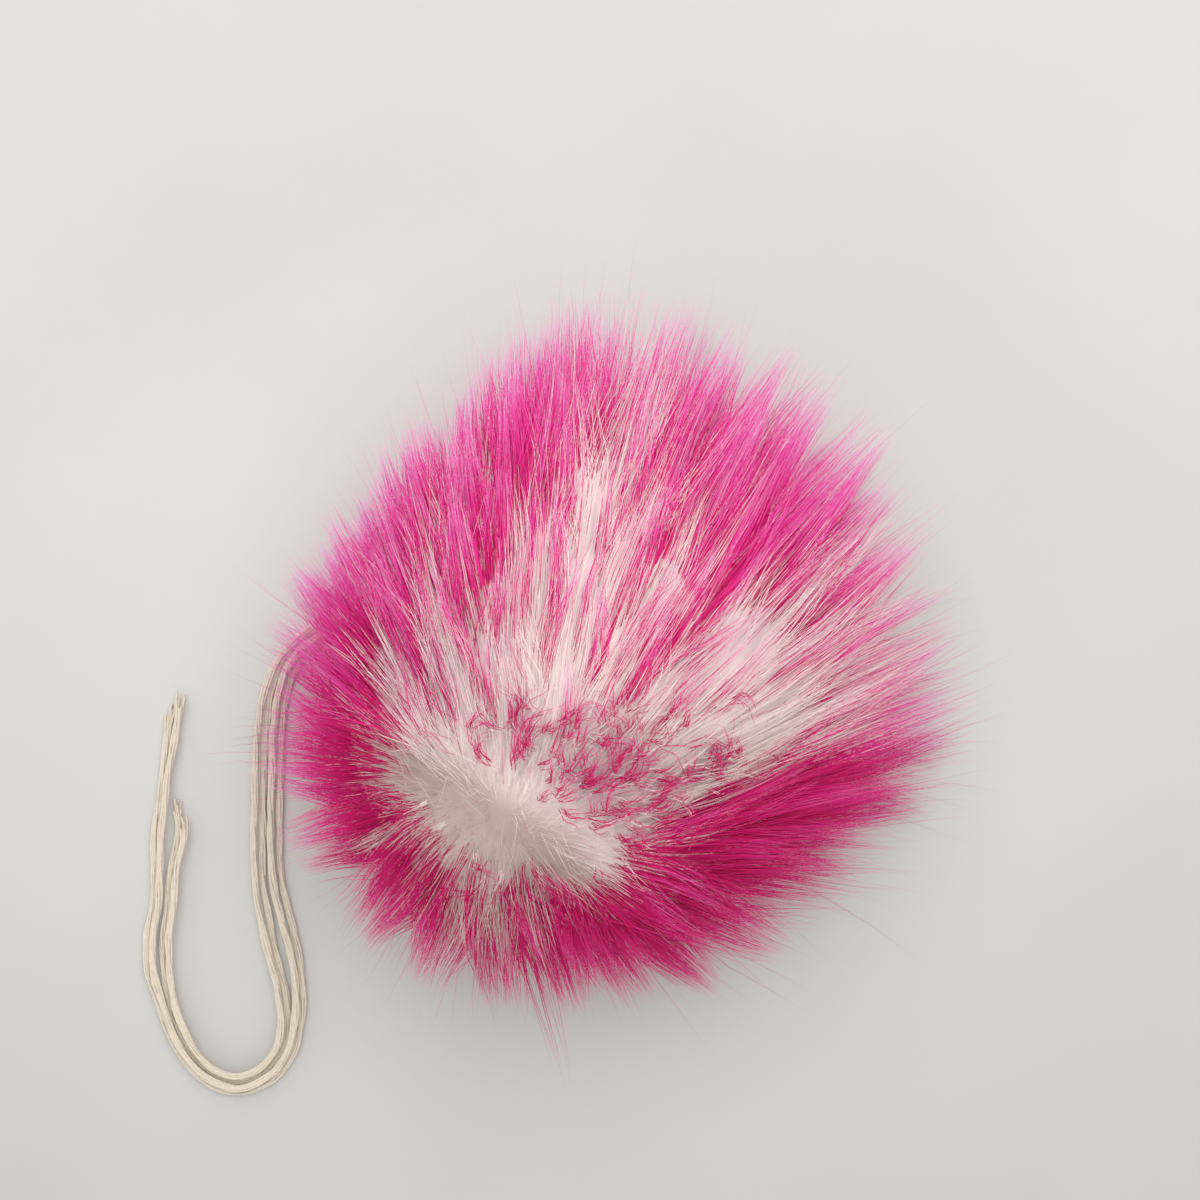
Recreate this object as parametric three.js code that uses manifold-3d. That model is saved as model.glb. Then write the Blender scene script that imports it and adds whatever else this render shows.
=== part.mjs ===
// Faux fur pom-pom lying on a flat surface: a gathered ball of fur cloth whose long pile
// is combed away from a parting in pointed locks, and the four yarn ends of its tie.
// Millimetres, +Z up. The origin is the middle of the flat spot that the ball rests on.
import * as THREE from "three";
import { mergeVertices } from "three/addons/utils/BufferGeometryUtils.js";
import Module from "manifold-3d";

const wasm = await Module();
wasm.setup();

// Ball: the gathered and filled fur cloth, without its pile
const BALL_RADIUS = 37;
const BALL_SQUASH = 0.95; // height against width, settled under its own weight
const FLAT_SPOT_RADIUS = 13; // gathered base, pressed flat on the surface
const BALL_SIDES = 26;
const BALL_STEPS = 10;
const BALL_MIDDLE = BALL_SQUASH * Math.sqrt(BALL_RADIUS ** 2 - FLAT_SPOT_RADIUS ** 2);

// Pile: a parting runs across the top of the ball, and the fur on each side of it fans out from
// its own place under the cloth, past the other side's.
const CROWN = new THREE.Vector3(0, -0.47, 0.88).normalize();
const PARTING_MIDDLE = new THREE.Vector2(-10.5, -17);
const PARTING_ACROSS = new THREE.Vector2(0.55, 0.84).normalize();
const PARTING_WIDTH = 8;
const COMBED_NEAR = new THREE.Vector3(-14, -10, 52);
const COMBED_FAR = new THREE.Vector3(-8, -28, 52);
const LOCK_COUNT = 275; // places on the whole ball; the flat spot's are left out
const LOCK_LENGTH = 43;
const LENGTH_SWEEP = 10; // longer on the side that the fur is combed to, shorter opposite
const SWEEP_TO = new THREE.Vector3(0.6, 0.77, -0.2).normalize();
const CROWN_TRIM = 14; // shorter at the crown, where the tips curl over
const CROWN_CURVE = 4; // how quickly that fades away from the crown
const LENGTH_SPREAD = 0.22; // unevenness from lock to lock
const LEAN_SPREAD = 0.16;
const LEAN_MIDDLE = 0.3;
const LOCK_WIDTH = 6.4;
const LOCK_THICKNESS = 3.4;
const LOCK_ROOT_SIZE = 0.72; // section at the root against the belly
const LOCK_SWELL = 1.4; // how quickly it swells from the root
const LOCK_POINT = 0.75; // under 1 gives a full lock with a short point
const LOCK_SIDES = 3;
const LOCK_ROWS = 4;
const LOCK_DROOP = 0.34; // how much each lock sinks towards its tip
const ROOT_DEPTH = 2.5; // how deep a root is sewn into the ball
const BARE_BELOW = 6; // no roots lower than this
const FULL_LENGTH_ABOVE = 26; // roots under this height have shorter locks
const SHORTEST = 0.3; // length of the lowest locks, against a full one
const SPLAY = 0.5; // how much a lock turns outwards where it meets the surface

// Lobes of the outline: what the sides add to the length, by their turn from +X in degrees
const LOBES = [
  { turn: 0, add: 1.5 },
  { turn: 30, add: 1.5 },
  { turn: 60, add: 1.5 },
  { turn: 90, add: 2.5 },
  { turn: 120, add: -11.5 },
  { turn: 150, add: -12 },
  { turn: 180, add: -2.5 },
  { turn: 210, add: -2 },
  { turn: 240, add: -0.5 },
  { turn: 270, add: -4.5 },
  { turn: 300, add: 4.5 },
  { turn: 330, add: 17 },
];

// Tie: four yarn ends that leave the gathered base together and lie on the surface
const TIE_DIAMETER = 1.7;
const TIE_SIDES = 8;
const TIE_STEP = 2.8 * TIE_DIAMETER;
const TIE_SPACING = TIE_DIAMETER + 0.5;
const TIE_LIFT = 0.15;
const TIE_COVER = 4.7; // the fur passes over the tie at this height
const COVER_NEAR = 9;
const COVER_FAR = 19;

// Middle of the bundle from the ball to the free ends. pitch: from one strand to the next,
// which ride up on their neighbours where it is narrow. part: between the two pairs.
const TIE_ROUTE = [
  { x: -18.45, y: 9.7, pitch: 1.25, part: 0 },
  { x: -28, y: 15.4, pitch: 1.25, part: 0 },
  { x: -38, y: 19.4, pitch: 1.25, part: 0 },
  { x: -48, y: 19.6, pitch: 1.25, part: 0 },
  { x: -56, y: 15.6, pitch: 1.25, part: 0 },
  { x: -60.6, y: 11, pitch: 1.25, part: 0 },
  { x: -63.4, y: 5, pitch: 1.5, part: 0.1 },
  { x: -64.9, y: -3, pitch: 1.65, part: 0.2 },
  { x: -65.5, y: -15, pitch: 1.65, part: 0.3 },
  { x: -65.7, y: -27, pitch: 1.65, part: 0.3 },
  { x: -65.4, y: -37.5, pitch: 1.65, part: 0.6 },
  { x: -63.8, y: -46, pitch: 1.65, part: 1.2 },
  { x: -61.8, y: -54.5, pitch: 1.4, part: 2 },
  { x: -60.5, y: -62, pitch: 1.25, part: 1.4 },
  { x: -60.3, y: -68.5, pitch: 1.25, part: 0.4 },
  { x: -62, y: -75.5, pitch: 1.25, part: 0 },
  { x: -66.6, y: -80.7, pitch: 1.25, part: 0 },
  { x: -73, y: -82.4, pitch: 1.25, part: 0 },
  { x: -79.3, y: -79.6, pitch: 1.25, part: 0 },
  { x: -84, y: -74, pitch: 1.25, part: 0 },
  { x: -87.2, y: -66, pitch: 1.25, part: 0 },
  { x: -89.4, y: -57.5, pitch: 1.6, part: 0.3 },
  { x: -89.6, y: -50, pitch: 1.6, part: 0.3 },
  { x: -88.4, y: -42.5, pitch: 1.45, part: 0.3 },
  { x: -88, y: -34.5, pitch: 1.55, part: 0.6 },
  { x: -87.1, y: -27, pitch: 1.7, part: 1.8 },
  { x: -86.7, y: -19.5, pitch: 1.5, part: 0.8 },
  { x: -86, y: -12.5, pitch: 1.6, part: 0.3 },
  { x: -84.5, y: -5, pitch: 2.05, part: 0.2 },
  { x: -83.2, y: 3.8, pitch: 2.05, part: 0.3 },
];
// place: across the bundle, outermost first. end: share of the route that the strand runs.
const TIE_STRANDS = [
  { name: "tie_long_outer", place: 1.5, end: 0.99 },
  { name: "tie_long_inner", place: 0.5, end: 1 },
  { name: "tie_short_outer", place: -0.5, end: 0.903 },
  { name: "tie_short_inner", place: -1.5, end: 0.89 },
];

const FUR_FINISH = { color: 0xd23a86, roughness: 0.85, metalness: 0 };
const YARN_FINISH = { color: 0xd3c8b4, roughness: 0.8, metalness: 0 };

const ballCentre = new THREE.Vector3(0, 0, BALL_MIDDLE);

// Unevenness: a fixed number from 0 to 1 for each lock and purpose
function uneven(index, purpose) {
  const mixed = Math.sin(index * 12.9898 + purpose * 78.233) * 43758.5453;
  return mixed - Math.floor(mixed);
}

// A closed geometry as a solid that can be joined to others
function solidOf(geometry) {
  const bare = new THREE.BufferGeometry();
  bare.setAttribute("position", geometry.getAttribute("position"));
  if (geometry.index) bare.setIndex(geometry.index);
  const merged = mergeVertices(bare, 1e-4);
  return new wasm.Manifold(
    new wasm.Mesh({
      numProp: 3,
      vertProperties: new Float32Array(merged.getAttribute("position").array),
      triVerts: new Uint32Array(merged.index.array),
    }),
  );
}

function namedMesh(name, solid, finish) {
  const surface = solid.getMesh();
  const geometry = new THREE.BufferGeometry();
  geometry.setAttribute("position", new THREE.BufferAttribute(surface.vertProperties, 3));
  geometry.setIndex(new THREE.BufferAttribute(surface.triVerts, 1));
  geometry.computeVertexNormals();
  const mesh = new THREE.Mesh(geometry, new THREE.MeshStandardMaterial(finish));
  mesh.name = name;
  return mesh;
}

// Flat spot, then the round flank up to the top
function ballGeometry() {
  const start = Math.asin(FLAT_SPOT_RADIUS / BALL_RADIUS);
  const profile = [new THREE.Vector2(0, 0)];
  for (let step = 0; step < BALL_STEPS; step++) {
    const angle = start + ((Math.PI - start) * step) / BALL_STEPS;
    const height = BALL_MIDDLE - BALL_SQUASH * BALL_RADIUS * Math.cos(angle);
    profile.push(new THREE.Vector2(BALL_RADIUS * Math.sin(angle), Math.max(height, 0)));
  }
  profile.push(new THREE.Vector2(0, BALL_MIDDLE + BALL_SQUASH * BALL_RADIUS));
  return new THREE.LatheGeometry(profile, BALL_SIDES).rotateX(Math.PI / 2);
}

// Centre line of one tie strand
function tieCurve(strand, order) {
  const places = TIE_ROUTE.map((row) => new THREE.Vector2(row.x, row.y));
  const points = TIE_ROUTE.map((row, at) => {
    const before = places[Math.max(at - 1, 0)];
    const after = places[Math.min(at + 1, places.length - 1)];
    const along = after.clone().sub(before).normalize();
    const across = strand.place * row.pitch + (Math.sign(strand.place) * row.part) / 2;
    const rise = Math.sqrt(Math.max(TIE_SPACING ** 2 - row.pitch ** 2, 0)) * (order % 2);
    return new THREE.Vector3(
      row.x - along.y * across,
      row.y + along.x * across,
      TIE_DIAMETER / 2 + TIE_LIFT + rise,
    );
  });
  const whole = new THREE.CatmullRomCurve3(points, false, "centripetal");
  const kept = [];
  for (let at = 0; at < points.length; at++) {
    kept.push(whole.getPointAt((strand.end * at) / (points.length - 1)));
  }
  return new THREE.CatmullRomCurve3(kept, false, "centripetal");
}

function tieMesh(strand, order) {
  const curve = tieCurve(strand, order);
  const section = new THREE.Shape();
  for (let side = 0; side < TIE_SIDES; side++) {
    const turn = (2 * Math.PI * side) / TIE_SIDES;
    const corner = [(TIE_DIAMETER / 2) * Math.cos(turn), (TIE_DIAMETER / 2) * Math.sin(turn)];
    if (side === 0) section.moveTo(...corner);
    else section.lineTo(...corner);
  }
  section.closePath();
  const geometry = new THREE.ExtrudeGeometry(section, {
    extrudePath: curve,
    steps: Math.round(curve.getLength() / TIE_STEP),
    bevelEnabled: false,
  });
  return namedMesh(strand.name, solidOf(geometry), YARN_FINISH);
}

// Height of what lies under the fur: the surface, or the tie and the way up onto it
function groundAt(place) {
  let nearest = Infinity;
  for (const row of TIE_ROUTE) {
    nearest = Math.min(nearest, Math.hypot(place.x - row.x, place.y - row.y));
  }
  return TIE_COVER * (1 - THREE.MathUtils.smoothstep(nearest, COVER_NEAR, COVER_FAR));
}

// Half the size of a lock's section, from 1 at its belly to 0 at its tip
function lockTaper(share) {
  return Math.min(1, LOCK_ROOT_SIZE + LOCK_SWELL * share) * (1 - share) ** LOCK_POINT;
}

// What the lobes add to a lock's length, none at the top of the ball
function lobeAt(outward) {
  const turn = (THREE.MathUtils.radToDeg(Math.atan2(outward.y, outward.x)) + 360) % 360;
  const step = turn / LOBES[1].turn;
  const row = Math.floor(step) % LOBES.length;
  const next = (row + 1) % LOBES.length;
  const add = THREE.MathUtils.lerp(LOBES[row].add, LOBES[next].add, step - Math.floor(step));
  return add * Math.hypot(outward.x, outward.y);
}

// Direction in which a lock leaves the cloth
function combedFrom(root) {
  const off = new THREE.Vector2(root.x, root.y).sub(PARTING_MIDDLE).dot(PARTING_ACROSS);
  const far = THREE.MathUtils.smoothstep(off, -PARTING_WIDTH, PARTING_WIDTH);
  return root.clone().sub(COMBED_NEAR.clone().lerp(COMBED_FAR, far)).normalize();
}

// Places down the middle of a lock, from inside the ball to the tip
function lockPath(root, outward, index) {
  const heading = combedFrom(root);
  heading.applyAxisAngle(CROWN, LEAN_SPREAD * (uneven(index, 1) - 0.5));
  heading.addScaledVector(outward, LEAN_SPREAD * (uneven(index, 2) - LEAN_MIDDLE)).normalize();
  const swept = LOCK_LENGTH + LENGTH_SWEEP * outward.dot(SWEEP_TO) + lobeAt(outward);
  const trimmed = swept - CROWN_TRIM * Math.max(outward.dot(CROWN), 0) ** CROWN_CURVE;
  const low = THREE.MathUtils.smoothstep(root.z, 0, FULL_LENGTH_ABOVE);
  const length =
    trimmed * (SHORTEST + (1 - SHORTEST) * low) * (1 + LENGTH_SPREAD * (uneven(index, 3) - 0.5));
  const away = new THREE.Vector3(root.x, root.y, 0).normalize();
  const path = [root.clone().addScaledVector(outward, -ROOT_DEPTH)];
  const place = root.clone();
  for (let row = 1; row <= LOCK_ROWS; row++) {
    const share = row / LOCK_ROWS;
    heading.z -= (LOCK_DROOP * share) / LOCK_ROWS;
    heading.normalize();
    place.addScaledVector(heading, length / LOCK_ROWS);
    const rest = groundAt(place) + (LOCK_THICKNESS / 2) * lockTaper(share);
    if (place.z < rest) {
      place.z = rest;
      heading.z = 0;
      heading.addScaledVector(away, SPLAY).normalize();
    }
    path.push(place.clone());
  }
  return path;
}

// A tapered lock: a cone with its rows moved onto the path
function lockSolid(root, outward, index) {
  const path = lockPath(root, outward, index);
  const cone = new THREE.ConeGeometry(1, 1, LOCK_SIDES, LOCK_ROWS);
  const corners = cone.getAttribute("position");
  for (let at = 0; at < corners.count; at++) {
    const share = Math.min(Math.max(corners.getY(at) + 0.5, 0), 1);
    const row = Math.round(share * LOCK_ROWS);
    const along = path[Math.min(row + 1, LOCK_ROWS)].clone().sub(path[Math.max(row - 1, 0)]);
    const side = along.clone().cross(outward).normalize();
    const up = side.clone().cross(along).normalize();
    const narrowing = share < 1 ? lockTaper(share) / (1 - share) : 0;
    const place = path[row]
      .clone()
      .addScaledVector(side, (corners.getX(at) * narrowing * LOCK_WIDTH) / 2)
      .addScaledVector(up, (corners.getZ(at) * narrowing * LOCK_THICKNESS) / 2);
    corners.setXYZ(at, place.x, place.y, Math.max(place.z, 0));
  }
  return solidOf(cone);
}

// Roots spread evenly over the ball by the golden angle, round the crown
function lockSolids() {
  const golden = Math.PI * (3 - Math.sqrt(5));
  const toCrown = new THREE.Quaternion().setFromUnitVectors(new THREE.Vector3(0, 0, 1), CROWN);
  const locks = [];
  for (let index = 0; index < LOCK_COUNT; index++) {
    const high = 1 - (2 * index + 1) / LOCK_COUNT;
    const wide = Math.sqrt(1 - high * high);
    const turn = golden * index;
    const way = new THREE.Vector3(wide * Math.cos(turn), wide * Math.sin(turn), high);
    way.applyQuaternion(toCrown);
    const root = ballCentre.clone();
    root.add(new THREE.Vector3(way.x, way.y, way.z * BALL_SQUASH).multiplyScalar(BALL_RADIUS));
    if (root.z < BARE_BELOW + groundAt(root)) continue;
    locks.push(lockSolid(root, way, index));
  }
  return locks;
}

function furMesh() {
  const joined = lockSolids().reduce((fur, lock) => fur.add(lock), solidOf(ballGeometry()));
  return namedMesh("fur_ball", joined, FUR_FINISH);
}

const pompom = new THREE.Group();
pompom.name = "pompom";
pompom.add(furMesh());
TIE_STRANDS.forEach((strand, order) => pompom.add(tieMesh(strand, order)));

export default pompom;
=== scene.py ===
"""Faux fur pom-pom on a pale surface: combed two-tone pile and the four yarn ends of its tie."""

import logging
import math
from collections.abc import Sequence
from dataclasses import dataclass, field
from enum import Enum
from typing import NamedTuple

import bpy
import numpy as np
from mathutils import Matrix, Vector


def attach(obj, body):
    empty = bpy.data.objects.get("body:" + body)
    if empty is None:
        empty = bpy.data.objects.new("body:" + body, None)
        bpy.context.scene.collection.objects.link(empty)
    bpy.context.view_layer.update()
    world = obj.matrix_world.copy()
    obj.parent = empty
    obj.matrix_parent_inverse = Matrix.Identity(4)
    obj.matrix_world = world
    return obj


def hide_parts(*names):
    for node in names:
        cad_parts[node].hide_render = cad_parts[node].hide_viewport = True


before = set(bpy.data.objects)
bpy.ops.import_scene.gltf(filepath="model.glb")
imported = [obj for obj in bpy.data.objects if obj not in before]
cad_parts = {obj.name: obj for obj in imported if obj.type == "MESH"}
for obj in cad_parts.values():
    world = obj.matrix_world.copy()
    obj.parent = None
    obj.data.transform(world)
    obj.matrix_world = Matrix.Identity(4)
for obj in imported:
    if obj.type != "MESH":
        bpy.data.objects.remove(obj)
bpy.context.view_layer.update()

LOG = logging.getLogger("pompom")
BODY = "root"
SEED = 20417
UV_MAP = "OFBake"
FUR_NODE = "fur_ball"
FULL_TURN = 2.0 * math.pi
# Random starts of a wave go nearly all the way round.
RANDOM_TURN = 6.28
# Most of a noise lies between these.
NOISE_RANGE = (0.3, 0.7)
# Places of the colours among the mix node's inputs and outputs.
MIX_LOW, MIX_HIGH, MIX_RESULT = 6, 7, 2

Array = np.ndarray
Colour = tuple[float, float, float, float]
Place = tuple[float, float, float]
Flat = tuple[float, float]
Range = tuple[float, float]
Socket = bpy.types.NodeSocket
Material = bpy.types.Material
Piece = bpy.types.Object


def unit(vectors: Array) -> Array:
    """Vectors scaled to length 1 along the last axis."""
    return vectors / np.maximum(np.linalg.norm(vectors, axis=-1, keepdims=True), 1e-12)


def smooth(values: Array, low: float, high: float) -> Array:
    """Smooth step from 0 at low to 1 at high."""
    share = np.clip((values - low) / (high - low), 0.0, 1.0)
    return share * share * (3.0 - 2.0 * share)


def turned(vectors: Array, axis: Array, angle: Array) -> Array:
    """Vectors turned about a unit axis.

    Args:
        vectors: Rows of three.
        axis: One unit vector.
        angle: Radians, one for each row.

    Returns:
        The turned rows.
    """
    cosine, sine = np.cos(angle)[:, None], np.sin(angle)[:, None]
    along = vectors @ axis
    return (
        vectors * cosine
        + np.cross(axis, vectors) * sine
        + axis * (along[:, None] * (1.0 - cosine))
    )


def uneven(index: Array, purpose: int) -> Array:
    """Fixed unevenness from 0 to 1 for each lock and purpose, the same as the solids have."""
    mixed = np.sin(index * 12.9898 + purpose * 78.233) * 43758.5453
    return mixed - np.floor(mixed)


def lattice(count: int, axis: Array) -> Array:
    """Even directions over a sphere by the golden angle.

    Args:
        count: How many directions.
        axis: Unit vector that the spiral starts at.

    Returns:
        Unit vectors, one row each.
    """
    index = np.arange(count)
    high = 1.0 - (2.0 * index + 1.0) / count
    wide = np.sqrt(1.0 - high * high)
    turn = math.pi * (3.0 - math.sqrt(5.0)) * index
    ways = np.stack([wide * np.cos(turn), wide * np.sin(turn), high], axis=1)
    upright = np.array([0.0, 0.0, 1.0])
    hinge = np.cross(upright, axis)
    angle = math.atan2(float(np.linalg.norm(hinge)), float(upright @ axis))
    return turned(ways, unit(hinge), np.full(count, angle))


def nearest(points: Array, centres: Array, block: int = 4000) -> Array:
    """Index of the nearest centre direction for each point direction.

    Args:
        points: Unit vectors.
        centres: Unit vectors to choose from.
        block: Points worked out at once.

    Returns:
        The index of a centre for each point.
    """
    found = np.empty(len(points), dtype=np.int64)
    for start in range(0, len(points), block):
        part = slice(start, start + block)
        found[part] = np.argmax(points[part] @ centres.T, axis=1)
    return found


def by_turn(flat: Array, turns: Sequence[float], values: Sequence[float]) -> Array:
    """Values given at turns from +X in degrees, read at the turns of flat vectors."""
    turn = np.degrees(np.arctan2(flat[..., 1], flat[..., 0]))
    return np.interp(turn, turns, values, period=360.0)


def reaches(line: Array) -> Array:
    """Way along a line from its start to each of its points."""
    return np.concatenate([[0.0], np.cumsum(np.linalg.norm(np.diff(line, axis=0), axis=1))])


def read_at(line: Array, reach: Array, wanted: Array) -> Array:
    """Points of a line at the wanted ways along it."""
    return np.column_stack([np.interp(wanted, reach, line[:, at]) for at in range(3)])


def blend(at: Array, low: float, high: float, first: Array, last: Array) -> Array:
    """Points on the straight way from the first place at low to the last at high."""
    return (high - at) / (high - low) * first + (at - low) / (high - low) * last


def tapered(steps: Array, tip: float, start: float) -> Array:
    """Girth that falls from 1 at the start to that of the tip."""
    return tip + (1.0 - tip) * (1.0 - smooth(steps, start, 1.0))


def closed_rings(sides: int, rows: int) -> list[tuple[int, ...]]:
    """Faces of a closed surface of rings between a first and a last point.

    Args:
        sides: Points on each ring.
        rows: How many rings.

    Returns:
        The faces, as places in the list of points.
    """
    faces = []
    last = 1 + (rows - 1) * sides
    for at in range(sides):
        after = (at + 1) % sides
        faces.append((0, 1 + at, 1 + after))
        for high in range(1, last, sides):
            low = high + sides
            faces.append((high + at, low + at, low + after, high + after))
        faces.append((last + at, last + sides, last + after))
    return faces


def placed(name: str, data: bpy.types.ID) -> Piece:
    """A new object in the scene.

    Args:
        name: Its name.
        data: Mesh, lamp or camera.

    Returns:
        The object.
    """
    made = bpy.data.objects.new(name, data)
    bpy.context.scene.collection.objects.link(made)
    return made


def plain_piece(name: str, points: Array, faces: list[tuple[int, ...]], finish: Material) -> Piece:
    """Makes a smooth piece.

    Args:
        name: Its name.
        points: Rows of three.
        faces: Places in the list of points.
        finish: Its material.

    Returns:
        The piece.
    """
    mesh = bpy.data.meshes.new(name)
    mesh.from_pydata(points.tolist(), [], faces)
    mesh.shade_smooth()
    mesh.materials.append(finish)
    return placed(name, mesh)


def triangles(piece: Piece) -> int:
    """How many triangles a piece has."""
    piece.data.calc_loop_triangles()
    return len(piece.data.loop_triangles)


class Nodes:
    """Adds nodes to a tree and fills their inputs."""

    def __init__(self, tree: bpy.types.NodeTree) -> None:
        """Keeps the tree."""
        self.tree = tree

    def fill(self, node: bpy.types.Node, given: dict) -> None:
        """Links sockets to a node's inputs and sets the values that aren't sockets.

        Args:
            node: The node.
            given: Sockets or values by the input's name or number.
        """
        for key, value in given.items():
            if isinstance(value, Socket):
                self.tree.links.new(value, node.inputs[key])
            else:
                node.inputs[key].default_value = value

    def add(self, kind: str, given: dict, **settings: str) -> bpy.types.Node:
        """Adds a node.

        Args:
            kind: Its type.
            given: What goes into its inputs, sockets or values.
            settings: Its own settings.

        Returns:
            The node.
        """
        made = self.tree.nodes.new(kind)
        for name, value in settings.items():
            setattr(made, name, value)
        self.fill(made, given)
        return made


class Paint(Nodes):
    """A matte material while it is put together."""

    def __init__(self, name: str, roughness: float, gloss: float) -> None:
        """Starts the material.

        Args:
            name: Its name.
            roughness: How matte it is.
            gloss: How much it mirrors.
        """
        self.material = bpy.data.materials.new(name)
        self.material.use_nodes = True
        super().__init__(self.material.node_tree)
        self.shader = self.tree.nodes["Principled BSDF"]
        self.fill(self.shader, {"Roughness": roughness, "Specular IOR Level": gloss})

    def node(self, kind: str, given: dict, **settings: str) -> bpy.types.Node:
        """Adds a shader node."""
        return self.add("ShaderNode" + kind, given, **settings)

    def place(self) -> Socket:
        """Object coordinates."""
        return self.node("TexCoord", {}).outputs["Object"]

    def noise(self, place: Socket, scale: float, detail: float) -> Socket:
        """A fine unevenness."""
        given = {"Vector": place, "Scale": scale, "Detail": detail}
        return self.node("TexNoise", given).outputs["Fac"]

    def ramped(self, share: Socket, stops: Sequence[tuple[float, Colour]]) -> Socket:
        """Colour at a share of the way through the stops.

        Args:
            share: Socket of the share.
            stops: Share and colour of each stop.

        Returns:
            The colour's socket.
        """
        node = self.node("ValToRGB", {"Fac": share})
        marks = node.color_ramp.elements
        while len(marks) < len(stops):
            marks.new(0.5)
        for mark, (at, colour) in zip(marks, stops):
            mark.position, mark.color = at, colour
        return node.outputs["Color"]

    def ranged(
        self, value: Socket, source: tuple, target: Range = (0.0, 1.0), kind: str = "LINEAR"
    ) -> Socket:
        """Maps a value from one range to another.

        Args:
            value: Socket that is mapped.
            source: Low and high of the value, each a number or a socket.
            target: Low and high of the result.
            kind: Interpolation.

        Returns:
            The result's socket.
        """
        bounds = dict(zip(("From Min", "From Max", "To Min", "To Max"), (*source, *target)))
        node = self.node("MapRange", {"Value": value, **bounds}, interpolation_type=kind)
        return node.outputs["Result"]

    def mixed(self, share: Socket, low: "Colour | Socket", high: "Colour | Socket") -> Socket:
        """Mix of two colours by the share of the second."""
        given = {"Factor": share, MIX_LOW: low, MIX_HIGH: high}
        return self.node("Mix", given, data_type="RGBA").outputs[MIX_RESULT]

    def scaled(self, colour: Socket, by: Socket) -> Socket:
        """A colour made lighter or darker."""
        node = self.node("VectorMath", {0: colour, "Scale": by}, operation="SCALE")
        return node.outputs["Vector"]

    def coloured(self, colour: Socket) -> Material:
        """The finished material in this colour."""
        self.fill(self.shader, {"Base Color": colour})
        return self.material


@dataclass(frozen=True)
class FurFinish:
    """Two-tone pile: white at the root, deep pink where the dye starts, paler to the tip; painted
    shade darkens the white towards the root, and the close mass along the parting.
    """

    name: str = "two_tone_fur"
    # Painted shade: the colour that the white darkens to towards the root, deep in the pile.
    root: Colour = (0.95, 0.75, 0.75, 1.0)
    white: Colour = (0.98, 0.80, 0.79, 1.0)
    under: Colour = (0.98, 0.81, 0.80, 1.0)
    # Painted shade: the colour that the mass darkens to along the parting, which faces away from
    # the light.
    parting: Colour = (0.50, 0.39, 0.37, 1.0)
    dye: tuple[tuple[float, Colour], ...] = (
        (0.0, (0.56, 0.004, 0.10, 1.0)),
        (0.26, (0.72, 0.008, 0.16, 1.0)),
        (0.51, (0.88, 0.024, 0.26, 1.0)),
        (0.74, (0.96, 0.09, 0.46, 1.0)),
        (0.90, (0.98, 0.32, 0.71, 1.0)),
        (1.0, (0.98, 0.64, 0.88, 1.0)),
    )
    latest_start: float = 1.1
    earliest_start: float = -0.1
    onset: float = 0.08
    mass_onset: float = 0.28
    ragged: float = 0.4
    grain: Range = (0.88, 1.06)
    streaks: float = 55.0
    streak_detail: float = 5.0
    root_shade_reach: float = 0.45
    roughness: float = 0.65
    gloss: float = 0.15

    def hair(self) -> Material:
        """Builds the material of single hairs.

        Returns:
            A material whose colour follows the hair's own map: across it how early the dye
            starts, along it the way from root to tip.
        """
        paint = Paint(self.name, self.roughness, self.gloss)
        place = paint.node("UVMap", {}, uv_map=UV_MAP).outputs["UV"]
        split = paint.node("SeparateXYZ", {"Vector": place})
        kind, along = split.outputs["X"], split.outputs["Y"]
        starts = (self.latest_start, self.earliest_start)
        start = paint.ranged(kind, (0.0, 1.0), starts)
        end = paint.ranged(kind, (0.0, 1.0), tuple(value + self.onset for value in starts))
        dyed = paint.ranged(along, (start, end), kind="SMOOTHSTEP")
        tones = paint.ramped(paint.ranged(along, (start, 1.0)), self.dye)
        # Painted shade: the white darkens to the root colour towards the root.
        shade = paint.ranged(along, (0.0, self.root_shade_reach), kind="SMOOTHSTEP")
        ground = paint.mixed(shade, self.root, self.white)
        return paint.coloured(paint.mixed(dyed, ground, tones))

    def mass(self, deep: "FurFinish") -> Material:
        """Builds the material of the close mass of hair under the single ones.

        Args:
            deep: The finish on the side where the dye is deeper; its dye is partly real deeper dye
                and partly painted shade on the side away from the light.

        Returns:
            A material whose tones follow the mesh's own attributes, in fine streaks along the comb,
            with painted shade along the parting.
        """
        paint = Paint(self.name + "_mass", self.roughness, self.gloss)
        carried = {
            name: paint.node("Attribute", {}, attribute_name=name).outputs
            for name in ("dye_start", "hair_share", "deep_dye_and_shade", "parted", "comb")
        }
        noise = paint.noise(carried["comb"]["Vector"], self.streaks, self.streak_detail)
        shift = paint.ranged(noise, NOISE_RANGE, (-self.ragged, self.ragged))
        start = paint.node("Math", {0: carried["dye_start"]["Fac"], 1: shift}).outputs["Value"]
        end = paint.node("Math", {0: start, 1: self.mass_onset}).outputs["Value"]
        share = carried["hair_share"]["Fac"]
        dyed = paint.ranged(share, (start, end), kind="SMOOTHSTEP")
        far = paint.ranged(share, (start, 1.0))
        # The deep ramp is partly real deeper dye and partly painted shade on the side away from the
        # light.
        bright_and_deep_shaded_ramps = (paint.ramped(far, fur.dye) for fur in (self, deep))
        tones = paint.mixed(carried["deep_dye_and_shade"]["Fac"], *bright_and_deep_shaded_ramps)
        # Painted shade: the mass's white darkens to the parting colour near the parting line.
        ground = paint.mixed(carried["parted"]["Fac"], self.under, self.parting)
        colour = paint.mixed(dyed, ground, tones)
        return paint.coloured(paint.scaled(colour, paint.ranged(noise, NOISE_RANGE, self.grain)))


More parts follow.
